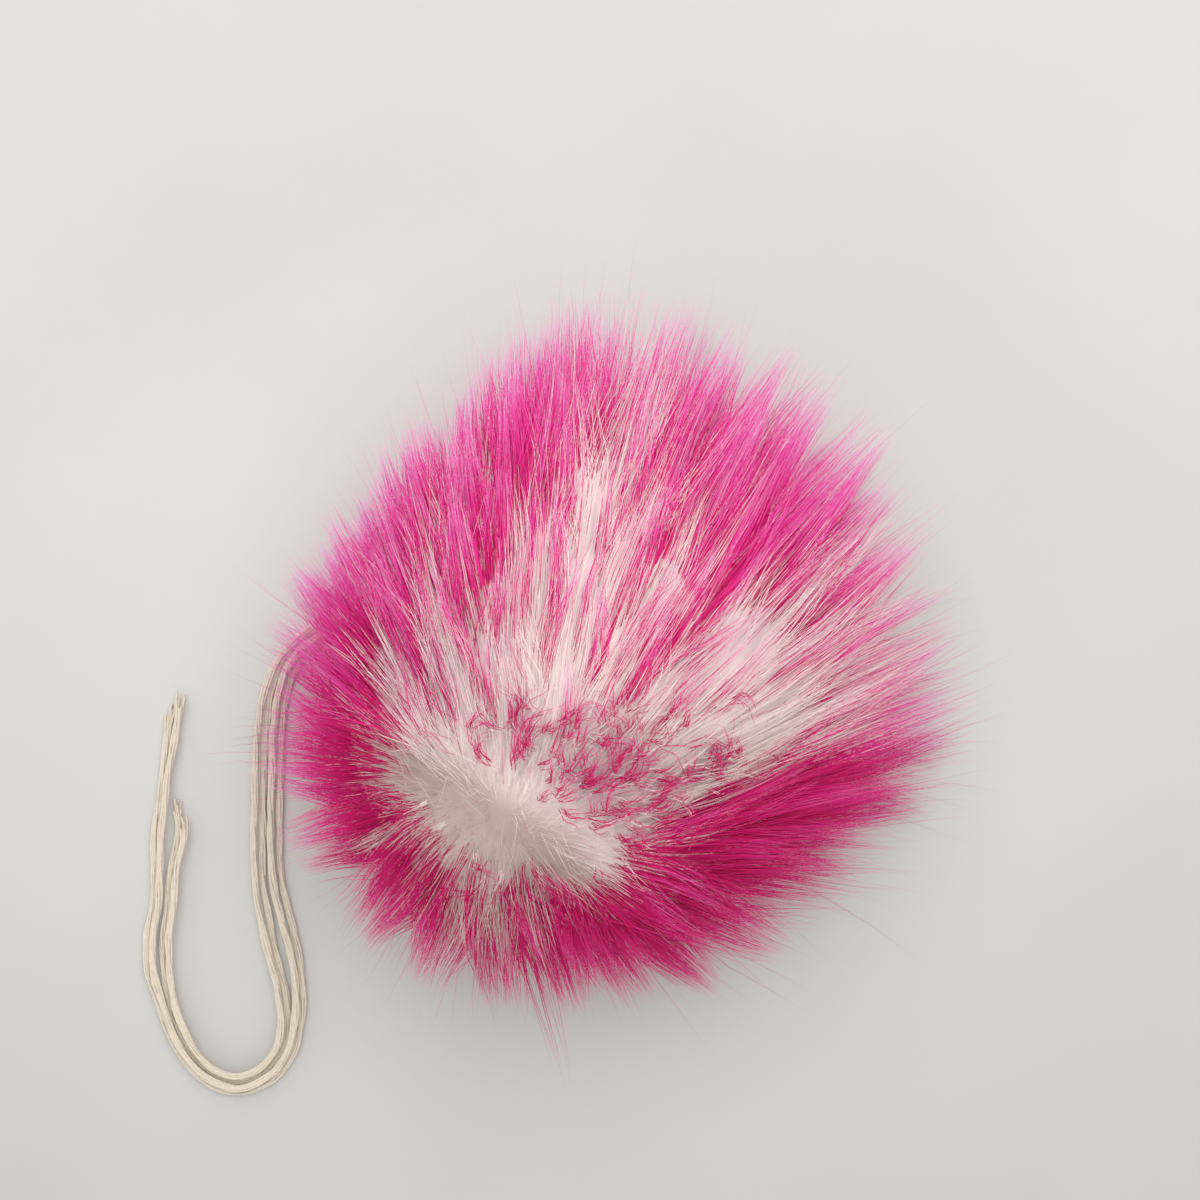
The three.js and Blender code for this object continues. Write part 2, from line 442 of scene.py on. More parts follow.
@dataclass(frozen=True)
class FibreFinish:
    """Matte undyed fibre with a fine grain: the yarn, and the cloth that the pile grows from."""

    name: str
    light: Colour
    dark: Colour
    grain: float
    detail: float = 6.0
    roughness: float = 0.85
    gloss: float = 0.2
    sheen: float = 0.3
    bump: float = 0.35
    bump_depth: float = 0.0002

    def material(self) -> Material:
        """Builds the material.

        Returns:
            A material with a fine fibre grain in Object coordinates.
        """
        paint = Paint(self.name, self.roughness, self.gloss)
        noise = paint.noise(paint.place(), self.grain, self.detail)
        relief = {"Strength": self.bump, "Distance": self.bump_depth, "Height": noise}
        bump = paint.node("Bump", relief).outputs["Normal"]
        paint.fill(paint.shader, {"Sheen Weight": self.sheen, "Normal": bump})
        return paint.coloured(paint.ramped(noise, tuple(zip(NOISE_RANGE, (self.dark, self.light)))))


@dataclass(frozen=True)
class PaperFinish:
    """Plain pale paper with a faint mottle, with painted shade that darkens it towards the bottom,
    away from the light, and painted light that brightens it around the ball, where the ball's
    shadow falls.
    """

    name: str = "pale_surface"
    light: Colour = (0.602, 0.604, 0.582, 1.0)
    dark: Colour = (0.580, 0.578, 0.557, 1.0)
    mottle: float = 14.0
    detail: float = 6.0
    # Painted shade: the paper darkens from the far end (top) to the near end (bottom), away from
    # the light.
    near: float = -0.16
    far: float = 0.10
    painted_shade: float = 0.84
    bright: float = 1.0
    # Painted light: the paper is brightened around the ball, where the ball's shadow falls.
    painted_light_middle: Place = (-0.01, -0.015, 0.0)
    painted_light_reach: Range = (0.06, 0.15)
    painted_light: float = 1.13
    roughness: float = 0.7
    gloss: float = 0.2

    def material(self) -> Material:
        """Builds the material.

        Returns:
            A material in Object coordinates.
        """
        paint = Paint(self.name, self.roughness, self.gloss)
        place = paint.place()
        noise = paint.noise(place, self.mottle, self.detail)
        colour = paint.ramped(noise, tuple(zip(NOISE_RANGE, (self.dark, self.light))))
        upward = paint.node("SeparateXYZ", {"Vector": place}).outputs["Y"]
        away = paint.node("VectorMath", {0: place, 1: self.painted_light_middle}, operation="DISTANCE")
        # Painted shade towards the bottom, then painted light around the ball.
        for value, source, target in (
            (upward, (self.near, self.far), (self.painted_shade, self.bright)),
            (away.outputs["Value"], self.painted_light_reach, (self.painted_light, 1.0)),
        ):
            colour = paint.scaled(colour, paint.ranged(value, source, target, "SMOOTHSTEP"))
        return paint.coloured(colour)


class Strands(NamedTuple):
    """Strand centre lines with what they carry at each point."""

    paths: Array
    girth: Array
    kind: Array


class Locks(NamedTuple):
    """Locks that the solids have: root directions and centre lines."""

    ways: Array
    paths: Array


class Tufts(NamedTuple):
    """Tufts of hair: root directions, centre lines, lengths, lateness of the dye, wave."""

    ways: Array
    paths: Array
    lengths: Array
    late: Array
    phase: Array


@dataclass(frozen=True)
class PileLight:
    """How a soft pile takes light: as one body, not hair by hair."""

    middle: Place = (0.0, 0.0, 0.03)
    even: float = 0.9
    upward: float = 0.35

    def dress(self, mesh: bpy.types.Mesh) -> None:
        """Turns shading normals from each thin hair's own towards those of the whole pile.

        Args:
            mesh: Mesh of hairs, or of their close mass.
        """
        places, own = (np.empty(len(mesh.vertices) * 3, np.float32) for _ in range(2))
        mesh.vertices.foreach_get("co", places)
        mesh.vertex_normals.foreach_get("vector", own)
        pile = unit(places.reshape(-1, 3) - np.array(self.middle))
        pile = unit(pile + np.array([0.0, 0.0, self.upward]))
        mixed = own.reshape(-1, 3) * (1.0 - self.even) + pile * self.even
        mesh.normals_split_custom_set_from_vertices(unit(mixed))


@dataclass
class StrandSweep:
    """Sweeps a small closed section along many strands and gives each the fibre's map."""

    sides: int = 3
    strip: float = 0.012
    pile_light: "PileLight | None" = None
    tree: bpy.types.NodeTree = field(init=False)

    def __post_init__(self) -> None:
        """Builds the node tree with its named inputs."""
        self.tree = bpy.data.node_groups.new("strand_sweep", "GeometryNodeTree")
        face = self.tree.interface
        inputs = {"Geometry": "Geometry", "Sides": "Int", "Strip Width": "Float"}
        for name, holds in {**inputs, "Finish": "Material"}.items():
            face.new_socket(name, in_out="INPUT", socket_type="NodeSocket" + holds)
        face.new_socket("Geometry", in_out="OUTPUT", socket_type="NodeSocketGeometry")
        nodes = Nodes(self.tree)
        given = nodes.add("NodeGroupInput", {}).outputs
        read = "GeometryNodeInputNamedAttribute"
        girth, around, kind, along = (
            nodes.add(read, {"Name": name}, data_type="FLOAT").outputs["Attribute"]
            for name in ("girth", "around", "kind", "along")
        )
        curve = nodes.add("GeometryNodeMeshToCurve", {"Mesh": given["Geometry"]})
        section = {"Resolution": given["Sides"], "Radius": 1.0}
        ring = nodes.add("GeometryNodeCurvePrimitiveCircle", section)
        index = nodes.add("GeometryNodeInputIndex", {}).outputs["Index"]
        turn = nodes.add("ShaderNodeMath", {0: index, 1: given["Sides"]}, operation="DIVIDE")
        numbered = nodes.add(
            "GeometryNodeStoreNamedAttribute",
            {"Geometry": ring.outputs["Curve"], "Name": "around", "Value": turn.outputs["Value"]},
            data_type="FLOAT",
            domain="POINT",
        )
        swept = {
            "Curve": curve.outputs["Curve"],
            "Profile Curve": numbered.outputs["Geometry"],
            "Scale": girth,
            "Fill Caps": True,
        }
        sweep = nodes.add("GeometryNodeCurveToMesh", swept)
        strip = {0: around, 1: given["Strip Width"], 2: kind}
        across = nodes.add("ShaderNodeMath", strip, operation="MULTIPLY_ADD").outputs["Value"]
        place = nodes.add("ShaderNodeCombineXYZ", {"X": across, "Y": along}).outputs["Vector"]
        shape = nodes.add(
            "GeometryNodeStoreNamedAttribute",
            {"Geometry": sweep.outputs["Mesh"], "Name": UV_MAP, "Value": place},
            data_type="FLOAT2",
            domain="CORNER",
        )
        for step, more in (
            ("GeometryNodeSetShadeSmooth", {}),
            ("GeometryNodeRealizeInstances", {}),
            ("GeometryNodeSetMaterial", {"Material": given["Finish"]}),
            ("NodeGroupOutput", {}),
        ):
            shape = nodes.add(step, {"Geometry": shape.outputs["Geometry"], **more})

    def piece(self, name: str, strands: Strands, finish: Material) -> Piece:
        """Sweeps strands into one plain mesh.

        Args:
            name: The piece's name.
            strands: Centre lines with girth and kind.
            finish: Material of all the strands.

        Returns:
            The piece, at the origin.
        """
        count, points = strands.paths.shape[:2]
        starts = np.arange(count * points).reshape(count, points)
        ends = np.stack([starts[:, :-1], starts[:, 1:]], axis=-1).reshape(-1, 2)
        carried = {
            "girth": strands.girth.ravel(),
            "kind": np.repeat(strands.kind, points),
            "along": np.tile(np.linspace(0.0, 1.0, points), count),
        }
        lines = bpy.data.meshes.new(name + "_lines")
        lines.vertices.add(count * points)
        lines.vertices.foreach_set("co", strands.paths.astype(np.float32).ravel())
        lines.edges.add(len(ends))
        lines.edges.foreach_set("vertices", ends.astype(np.int32).ravel())
        for label, values in carried.items():
            stored = lines.attributes.new(label, "FLOAT", "POINT")
            stored.data.foreach_set("value", values.astype(np.float32))
        lines.update()
        holder = placed(name, lines)
        swept = holder.modifiers.new("strand_sweep", "NODES")
        swept.node_group = self.tree
        wanted = {"Sides": self.sides, "Strip Width": self.strip, "Finish": finish}
        for socket in self.tree.interface.items_tree:
            if socket.in_out == "INPUT" and socket.name in wanted:
                swept[socket.identifier] = wanted[socket.name]
        bpy.context.view_layer.update()
        graph = bpy.context.evaluated_depsgraph_get()
        plain = bpy.data.meshes.new_from_object(holder.evaluated_get(graph), depsgraph=graph)
        holder.modifiers.remove(swept)
        holder.data = plain
        plain.name = name
        bpy.data.meshes.remove(lines)
        for label in (*carried, "around"):
            if label in plain.attributes:
                plain.attributes.remove(plain.attributes[label])
        if self.pile_light is not None:
            self.pile_light.dress(plain)
        return holder


@dataclass(frozen=True)
class TieRow:
    """One place on the tie's route: middle of the bundle, pitch of strands, gap between pairs."""

    x: float
    y: float
    pitch: float
    part: float


@dataclass(frozen=True)
class TieStrand:
    """One yarn end: the solid it stands for, its place in the bundle, its share of the route."""

    name: str
    place: float
    end: float


@dataclass
class Tie:
    """Four yarn ends of soft parallel threads that lie on the surface, where their solids lie."""

    diameter: float = 0.0017
    spacing: float = 0.0022
    lift: float = 0.00015
    threads: int = 9
    thread_girth: float = 0.0003
    bundle_wide: float = 0.00064
    bundle_high: float = 0.00046
    twist_length: float = 0.055
    wobble: float = 0.00009
    fray_length: float = 0.006
    fray_spread: float = 1.3
    uneven_cut: float = 0.004
    point_step: float = 0.0011
    spline_steps: int = 24
    thread_turn: float = 2.4
    strand_turn: float = 0.7
    wobble_lengths: Range = (0.006, 0.015)
    thread_kinds: Range = (0.1, 0.85)
    path_step: int = 4
    rows: tuple[TieRow, ...] = tuple(
        TieRow(*row)
        for row in (
            (-0.01845, 0.0097, 0.00125, 0.0), (-0.028, 0.0154, 0.00125, 0.0),
            (-0.038, 0.0194, 0.00125, 0.0), (-0.048, 0.0196, 0.00125, 0.0),
            (-0.056, 0.0156, 0.00125, 0.0), (-0.0606, 0.011, 0.00125, 0.0),
            (-0.0634, 0.005, 0.0015, 0.0001), (-0.0649, -0.003, 0.00165, 0.0002),
            (-0.0655, -0.015, 0.00165, 0.0003), (-0.0657, -0.027, 0.00165, 0.0003),
            (-0.0654, -0.0375, 0.00165, 0.0006), (-0.0638, -0.046, 0.00165, 0.0012),
            (-0.0618, -0.0545, 0.0014, 0.002), (-0.0605, -0.062, 0.00125, 0.0014),
            (-0.0603, -0.0685, 0.00125, 0.0004), (-0.062, -0.0755, 0.00125, 0.0),
            (-0.0666, -0.0807, 0.00125, 0.0), (-0.073, -0.0824, 0.00125, 0.0),
            (-0.0793, -0.0796, 0.00125, 0.0), (-0.084, -0.074, 0.00125, 0.0),
            (-0.0872, -0.066, 0.00125, 0.0), (-0.0894, -0.0575, 0.0016, 0.0003),
            (-0.0896, -0.05, 0.0016, 0.0003), (-0.0884, -0.0425, 0.00145, 0.0003),
            (-0.088, -0.0345, 0.00155, 0.0006), (-0.0871, -0.027, 0.0017, 0.0018),
            (-0.0867, -0.0195, 0.0015, 0.0008), (-0.086, -0.0125, 0.0016, 0.0003),
            (-0.0845, -0.005, 0.00205, 0.0002), (-0.0832, 0.0038, 0.00205, 0.0003),
        )
    )
    strands: tuple[TieStrand, ...] = (
        TieStrand("tie_long_outer", 1.5, 0.99),
        TieStrand("tie_long_inner", 0.5, 1.0),
        TieStrand("tie_short_outer", -0.5, 0.903),
        TieStrand("tie_short_inner", -1.5, 0.89),
    )

    def middle(self) -> Array:
        """Places of the bundle's middle on the surface, one row each."""
        return np.array([(row.x, row.y) for row in self.rows])

    def route(self, strand: TieStrand, order: int) -> Array:
        """Centre line of one strand.

        Args:
            strand: Which yarn end.
            order: Its place in the list; every second one rides up where the bundle narrows.

        Returns:
            Points from the ball to the free end, a short step apart.
        """
        middle = self.middle()
        padded = np.concatenate([middle[:1], middle, middle[-1:]])
        along = unit(padded[2:] - padded[:-2])
        pitch = np.array([row.pitch for row in self.rows])
        part = np.array([row.part for row in self.rows])
        across = strand.place * pitch + np.sign(strand.place) * part / 2.0
        rise = np.sqrt(np.maximum(self.spacing**2 - pitch**2, 0.0)) * (order % 2)
        points = np.column_stack(
            [
                middle[:, 0] - along[:, 1] * across,
                middle[:, 1] + along[:, 0] * across,
                self.diameter / 2.0 + self.lift + rise,
            ]
        )
        fine = self._rounded(points)
        reach = reaches(fine)
        length = reach[-1] * strand.end
        return read_at(fine, reach, np.linspace(0.0, length, int(length / self.point_step) + 1))

    def _rounded(self, points: Array) -> Array:
        """Centripetal spline through the points.

        Args:
            points: Rows of three.

        Returns:
            Many points on the smooth line.
        """
        ends = np.concatenate([[2 * points[0] - points[1]], points, [2 * points[-1] - points[-2]]])
        pieces = []
        for at in range(len(points) - 1):
            a, b, c, d = ends[at : at + 4]
            gaps = (np.linalg.norm(q - p) ** 0.5 for p, q in ((a, b), (b, c), (c, d)))
            k0, k1, k2, k3 = np.cumsum([0.0, *gaps])
            t = np.linspace(k1, k2, self.spline_steps, endpoint=False)[:, None]
            ab, bc, cd = blend(t, k0, k1, a, b), blend(t, k1, k2, b, c), blend(t, k2, k3, c, d)
            abc, bcd = blend(t, k0, k2, ab, bc), blend(t, k1, k3, bc, cd)
            pieces.append(blend(t, k1, k2, abc, bcd))
        return np.concatenate([*pieces, points[-1:]])

    def bundled(self, line: Array, order: int) -> Strands:
        """Soft threads that run side by side along a centre line and fray at the free end.

        Args:
            line: The strand's centre line.
            order: Its place in the list, which sets its unevenness.

        Returns:
            The threads as strands.
        """
        chance = np.random.default_rng(SEED + order)
        ahead = unit(np.gradient(line, axis=0))
        side = unit(np.cross(ahead, np.array([0.0, 0.0, 1.0])))
        up = np.cross(side, ahead)
        reach = reaches(line)
        frayed = 1.0 + self.fray_spread * smooth(reach, reach[-1] - self.fray_length, reach[-1])
        paths = []
        for thread in range(self.threads):
            out = math.sqrt((thread + 0.5) / self.threads) * frayed
            turn = self.thread_turn * thread + self.strand_turn * order
            turn = turn + FULL_TURN * reach / self.twist_length
            waves = (
                FULL_TURN * reach / chance.uniform(*self.wobble_lengths)
                + chance.uniform(0.0, RANDOM_TURN)
                for _ in range(2)
            )
            sway, lift = (self.wobble * np.sin(wave) for wave in waves)
            across = self.bundle_wide * out * np.cos(turn) + sway
            above = self.bundle_high * out * np.sin(turn) + lift
            path = line + across[:, None] * side + above[:, None] * up
            kept = np.linspace(0.0, reach[-1] - chance.uniform(0.0, self.uneven_cut), len(line))
            paths.append(read_at(path, reach, kept))
        made = np.stack(paths)
        made[..., 2] = np.maximum(made[..., 2], self.thread_girth)
        kind = np.linspace(*self.thread_kinds, self.threads)
        return Strands(made, np.full(made.shape[:2], self.thread_girth), kind)

    def build(self, sweep: StrandSweep, finish: Material) -> None:
        """Args:
            sweep: Sweep for the threads.
            finish: The yarn's material.
        """
        for order, strand in enumerate(self.strands):
            line = self.route(strand, order)
            piece = sweep.piece("yarn_" + strand.name, self.bundled(line, order), finish)
            length = float(np.linalg.norm(np.diff(line, axis=0), axis=1).sum())
            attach(piece, BODY)
            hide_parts(strand.name)
            LOG.info("%s: %.0f mm long, %d triangles", piece.name, length * 1000, triangles(piece))


class Tone(Enum):
    """Tones that the pile comes in; the deep and shaded ones carry painted shade on their white and
    root, and every tone's root has some.
    """

    BRIGHT = "bright"
    CURLED = "curled"
    DEEP_AND_SHADED = "deep"
    PARTED = "parted"
    SHADED = "shaded"


class FurZone(Enum):
    """Parts of the pile, each its own piece: name, tone, first turn in degrees of a side."""

    PARTING_FAR = ("parting_far", Tone.PARTED, None)
    # The near side of the parting faces away from the light; its shaded tone has painted shade on
    # the white and root.
    PARTING_NEAR = ("parting_near", Tone.SHADED, None)
    RIGHT = ("right", Tone.BRIGHT, -15.0)
    BACK_RIGHT = ("back_right", Tone.BRIGHT, 40.0)
    BACK_LEFT = ("back_left", Tone.BRIGHT, 95.0)
    LEFT = ("left", Tone.BRIGHT, 150.0)
    # The front zones face away from the light: their tone has painted shade on the white and root,
    # and a dye that is deeper partly as painted shade.
    FRONT_LEFT = ("front_left", Tone.DEEP_AND_SHADED, 195.0)
    FRONT_RIGHT = ("front_right", Tone.DEEP_AND_SHADED, 270.0)

    def __init__(self, label: str, tone: Tone, turn: "float | None") -> None:
        """Keeps what the value says."""
        self.label, self.tone, self.turn = label, tone, turn


@dataclass(frozen=True)
class DyeEdge:
    """Where the dye starts on one side of the pale band: least distance, and how much more."""

    turn: float
    start: float
    spread: float


@dataclass(frozen=True)
class Lobe:
    """What one side of the ball adds to the pile's length, by its turn from +X in degrees."""

    turn: float
    add: float


@dataclass(frozen=True)
class GuardCut:
    """How the long guard hairs are laid; a range is a least and a most."""

    count: int = 33200
    rows: int = 4
    jitter: float = 0.8
    girth: float = 0.000081
    girths: Range = (0.75, 1.2)
    tip_girth: float = 0.10
    root_girth: float = 0.6
    taper_from: float = 0.4
    late_spread: float = 0.04
    early_share: float = 0.08
    early_by: Range = (0.1, 0.35)
    fan: float = 0.05
    lengths: Range = (0.66, 1.13)
    pull: Range = (0.5, 0.9)
    sunk: float = 0.12
    latest_begin: float = 0.8
    wave_sizes: Range = (0.0001, 0.0004)
    wave_turns: Range = (0.6, 1.2)
    wave_spread: float = 0.4
    dyed_tips: float = 0.5
    tip_dye: Range = (0.6, 0.9)
    stays_white: float = 0.75
    white_girth: float = 0.7
    white_length: float = 0.92
    stray_share: float = 0.07
    stray_fan: float = 0.2
    stray_lengths: Range = (0.95, 1.25)
    stray_pull: Range = (0.0, 0.4)
    stray_wave: float = 2.5
    stray_girth: float = 0.6


@dataclass(frozen=True)
class CurlCut:
    """How the small hooks on top are laid; a range is a least and a most."""

    places: int = 6400
    hairs: int = 7
    rows: int = 7
    jitter: float = 0.45
    middle: Flat = (0.0055, -0.0155)
    reach: Flat = (0.027, 0.0155)
    heights: Range = (0.055, 0.068)
    along: float = 0.5
    along_rows: int = 4
    flop: float = 0.22
    seat: float = 0.22
    clear: float = 0.0065
    inside: float = 0.5
    turn_spread: float = 0.5
    bends: Range = (0.2, 1.6)
    bend_power: float = 1.3
    clockwise: float = 0.7
    lengths: Range = (0.004, 0.012)
    hair_fan: float = 0.2
    hair_bends: Range = (0.7, 1.2)
    hair_lengths: Range = (0.5, 1.3)
    hair_lifts: Range = (0.7, 1.3)
    hair_girths: Range = (0.8, 1.2)
    hair_scatter: float = 0.00035
    crimp: float = 0.4
    crimp_turns: float = 1.4
    sunk: float = -0.0015
    rise: float = 0.0034
    risen_at: float = 0.35
    fall: float = 0.0009
    falls_from: float = 0.5
    bow: float = 0.11
    girth: float = 0.000085
    tip_girth: float = 0.35
    dye: Range = (0.05, 0.3)


@dataclass
class FurBall:
    """Gathered ball of fur cloth with underfur and long guard hairs combed from a parting.

    Lengths are in metres, turns in degrees; most other sizes are shares.
    """

    tie: Tie
    radius: float = 0.037
    squash: float = 0.95
    flat_spot: float = 0.013
    crown: Place = (0.0, -0.47, 0.88)
    parting_middle: Flat = (-0.0105, -0.017)
    parting_across: Flat = (0.55, 0.84)
    parting_width: float = 0.008
    combed_near: Place = (-0.014, -0.010, 0.052)
    combed_far: Place = (-0.008, -0.028, 0.052)
    lock_count: int = 275
    lock_length: float = 0.043
    length_sweep: float = 0.010
    sweep_to: Place = (0.6, 0.77, -0.2)
    crown_trim: float = 0.014
    crown_curve: float = 4.0
    length_spread: float = 0.22
    lean_spread: float = 0.16
    lean_middle: float = 0.3
    droop: float = 0.34
    bare_below: float = 0.004
    full_length_above: float = 0.026
    shortest: float = 0.3
    splay: float = 0.5
    lie_clear: float = 0.0006
    least_height: float = 0.0004
    lobes: tuple[Lobe, ...] = tuple(
        Lobe(30.0 * order, add)
        for order, add in enumerate(
            (0.0015, 0.0015, 0.0015, 0.0025, -0.0115, -0.012)
            + (-0.0025, -0.002, -0.0005, -0.0045, 0.0045, 0.017)
        )
    )
    tie_cover: float = 0.0047
    cover_near: float = 0.009
    cover_far: float = 0.019
    guide_rows: int = 14
    trace_rows: int = 8
    gather_from: float = 0.3
    tuft_count: int = 1100
    tuft_jitter: float = 0.35
    tuft_lengths: Range = (0.82, 1.14)
    tuft_fan: float = 0.06
    tuft_pull: Range = (0.6, 0.95)
    tuft_late: float = 0.04
    pale_tufts: float = 0.03
    pale_tuft_late: float = 0.8
    wisps: tuple[Flat, ...] = ((-0.0707, -0.0013), (-0.0700, -0.0079), (0.0016, -0.0700))
    wisp_length: float = 1.4
    guard: GuardCut = GuardCut()
    curl: CurlCut = CurlCut()
    wave_side: Place = (0.11, 0.07, 0.05)
    wave_from: float = 0.05
    wave_rise: float = 0.6
    wave_pace: float = 1.3
    wave_shift: float = 0.8
    mass_sides: int = 320
    mass_rows: int = 150
    mass_short: float = 0.26
    mass_high: float = 0.42
    mass_sweep: Range = (-0.3, 0.45)
    mass_waves: tuple[float, ...] = (9.0, 15.0, 24.0)
    mass_waves_each: int = 5
    mass_lumps: float = 0.04
    mass_blur: float = 0.07
    mass_late: float = 0.1
    mass_flanks: Range = (0.045, 0.062)
    cloth_sides: int = 64
    cloth_rows: int = 28
    cloth_inside: float = 0.985
    cloth_lift: float = 0.0002
    cloth_peak: float = 0.0004
    pleats: float = 16.0
    pleat_depth: float = 0.02
    pleat_until: float = 1.4
    lock_point: float = 0.85
    streak_count: int = 500
    streak_spread: float = 0.45
    streak_half: float = 0.42
    pale_streaks: float = 0.17
    pale_least: float = 0.7
    pale_more: float = 0.9
    side_shift: float = 0.25
    # Sector where the mass takes the deep dye, which is partly real deeper dye and partly painted
    # shade on the side away from the light.
    deep_dye_and_shade_middle: float = -90.0
    deep_dye_and_shade_edge: Range = (65.0, 85.0)
    reach: float = 0.097
    parting_wide: float = 0.012
    parting_line: float = 0.006
    parting_splay: float = 0.3
    parting_depth: float = 0.4
    parting_lean: float = 0.6
    # Reaches from the pale band of the parting zones, whose tones carry painted shade, and of the
    # mass's painted shade along the parting, on the near and far side.
    parting_near: float = 0.022
    parting_far: float = 0.009
    pale_band: tuple[Flat, Flat] = ((-0.0252, -0.0077), (0.0008, -0.0248))
    dye_steps: int = 21
    undyed: float = 1.1
    kind_limits: Range = (0.005, 0.98)
    dye_edges: tuple[DyeEdge, ...] = tuple(
        DyeEdge(*row)
        for row in (
            (0.0, 0.019, 0.003), (6.0, 0.028, 0.016), (10.0, 0.034, 0.080),
            (16.0, 0.036, 0.125), (28.0, 0.028, 0.104), (36.0, 0.019, 0.050),
            (42.0, 0.017, 0.034), (50.0, 0.016, 0.036), (60.0, 0.015, 0.063),
            (74.0, 0.015, 0.086), (80.0, 0.014, 0.060), (86.0, 0.013, 0.036),
            (100.0, 0.012, 0.030), (114.0, 0.008, 0.020), (126.0, 0.005, 0.014),
            (140.0, 0.003, 0.010), (155.0, 0.003, 0.007), (172.0, 0.005, 0.005),
            (185.0, 0.007, 0.003), (198.0, 0.010, 0.010), (214.0, 0.007, 0.012),
            (230.0, 0.007, 0.018), (244.0, 0.009, 0.020), (258.0, 0.005, 0.018),
            (271.0, 0.007, 0.018), (285.0, 0.004, 0.014), (303.0, 0.004, 0.005),
            (318.0, 0.002, 0.007), (333.0, 0.007, 0.007), (345.0, 0.010, 0.004),
            (354.0, 0.015, 0.003),
        )
    )

    def __post_init__(self) -> None:
        """Works out the ball's middle and starts the fixed random numbers."""
        high = self.squash * math.sqrt(self.radius**2 - self.flat_spot**2)
        self.middle = np.array([0.0, 0.0, high])
        self.pole = unit(np.array(self.crown))
        self.random = np.random.default_rng(SEED)

    def roots(self, ways: Array) -> Array:
        """Places on the cloth in the given directions."""
        return self.middle + ways * self.radius * np.array([1.0, 1.0, self.squash])

    def ground(self, places: Array) -> Array:
        """Height of what lies under the fur: the surface, or the tie and the way up onto it.

        Args:
            places: Places on the fur.

        Returns:
            A height for each.
        """
        flat = places[..., None, :2] - self.tie.middle()
        gap = np.sqrt((flat**2).sum(axis=-1)).min(axis=-1)
        return self.tie_cover * (1.0 - smooth(gap, self.cover_near, self.cover_far))

    def headings(self, roots: Array) -> Array:
        """Directions in which hairs leave the cloth, away from the other side of the parting.

        Args:
            roots: Where they leave it.

        Returns:
            Unit vectors.
        """
        off = (roots[:, :2] - np.array(self.parting_middle)) @ unit(np.array(self.parting_across))
        side = smooth(off, -self.parting_width, self.parting_width)
        near, far = np.array(self.combed_near), np.array(self.combed_far)
        return unit(roots - (near + side[:, None] * (far - near)))

    def lengths(self, roots: Array, ways: Array) -> Array:
        """Pile length at each root, without unevenness.

        Args:
            roots: Where the hairs leave the cloth.
            ways: Root directions.

        Returns:
            The lengths.
        """
        lobes = [lobe.turn for lobe in self.lobes], [lobe.add for lobe in self.lobes]
        lobed = by_turn(ways, *lobes) * np.hypot(ways[:, 0], ways[:, 1])
        combed = self.length_sweep * (ways @ unit(np.array(self.sweep_to)))
        swept = self.lock_length + combed + lobed
        trimmed = swept - self.crown_trim * np.maximum(ways @ self.pole, 0.0) ** self.crown_curve
        low = smooth(roots[:, 2], 0.0, self.full_length_above)
        return trimmed * (self.shortest + (1.0 - self.shortest) * low)

    def traced(self, roots: Array, headings: Array, lengths: Array, rows: int) -> Array:
        """Centre lines that sink under their weight and lie on what is below.

        Args:
            roots: Where the hairs leave the cloth.
            headings: Their first direction.
            lengths: Their length.
            rows: Steps along each.

        Returns:
            An array of hairs by rows + 1 points.
        """
        heading = headings.copy()
        away = unit(roots * np.array([1.0, 1.0, 0.0]))
        place = roots.copy()
        path = [place.copy()]
        for row in range(1, rows + 1):
            heading[:, 2] -= self.droop * (row / rows) / rows
            heading = unit(heading)
            place = place + heading * (lengths / rows)[:, None]
            rest = self.ground(place) + self.lie_clear
            low = place[:, 2] < rest
            place[low, 2] = rest[low]
            heading[low, 2] = 0.0
            heading[low] = unit(heading[low] + self.splay * away[low])
            path.append(place.copy())
        return np.stack(path, axis=1)

    def locks(self) -> Locks:
        """The locks that the solids have.

        Returns:
            Their root directions and centre lines.
        """
        ways = lattice(self.lock_count, self.pole)
        index = np.arange(self.lock_count)
        roots = self.roots(ways)
        lean = self.lean_spread * (uneven(index, 1) - 0.5)
        headings = turned(self.headings(roots), self.pole, lean)
        lifted = self.lean_spread * (uneven(index, 2) - self.lean_middle)
        headings = unit(headings + ways * lifted[:, None])
        spread = 1.0 + self.length_spread * (uneven(index, 3) - 0.5)
        paths = self.traced(roots, headings, self.lengths(roots, ways) * spread, self.guide_rows)
        return Locks(ways, paths)

    @staticmethod
    def along_guide(guides: Array, index: Array, share: Array) -> Array:
        """Points on guides.

        Args:
            guides: Guide centre lines.
            index: The guide of each hair.
            share: For each hair and point, how far along its guide, from 0 to 1.

        Returns:
            An array of hairs by points.
        """
        last = guides.shape[1] - 1
        at = np.clip(share, 0.0, 1.0) * last
        low = np.minimum(at.astype(np.int64), last - 1)
        part = (at - low)[..., None]
        return guides[index[:, None], low] * (1.0 - part) + guides[index[:, None], low + 1] * part

    def drawn(
        self, roots: Array, headings: Array, lengths: Array, begin: Array, rows: int
    ) -> tuple[Array, Array]:
        """The outer part of hairs, from inside the underfur to the tip.

        Args:
            roots: Where the hairs leave the cloth.
            headings: Their first direction.
            lengths: Their length.
            begin: Share of each at which the drawn part begins.
            rows: Steps along that part.

        Returns:
            The centre lines and the share of the hair at each of their points.
        """
        whole = self.traced(roots, headings, lengths, self.trace_rows)
        steps = begin[:, None] + (1.0 - begin)[:, None] * np.linspace(0.0, 1.0, rows + 1)[None, :]
        return self.along_guide(whole, np.arange(len(roots)), steps), steps

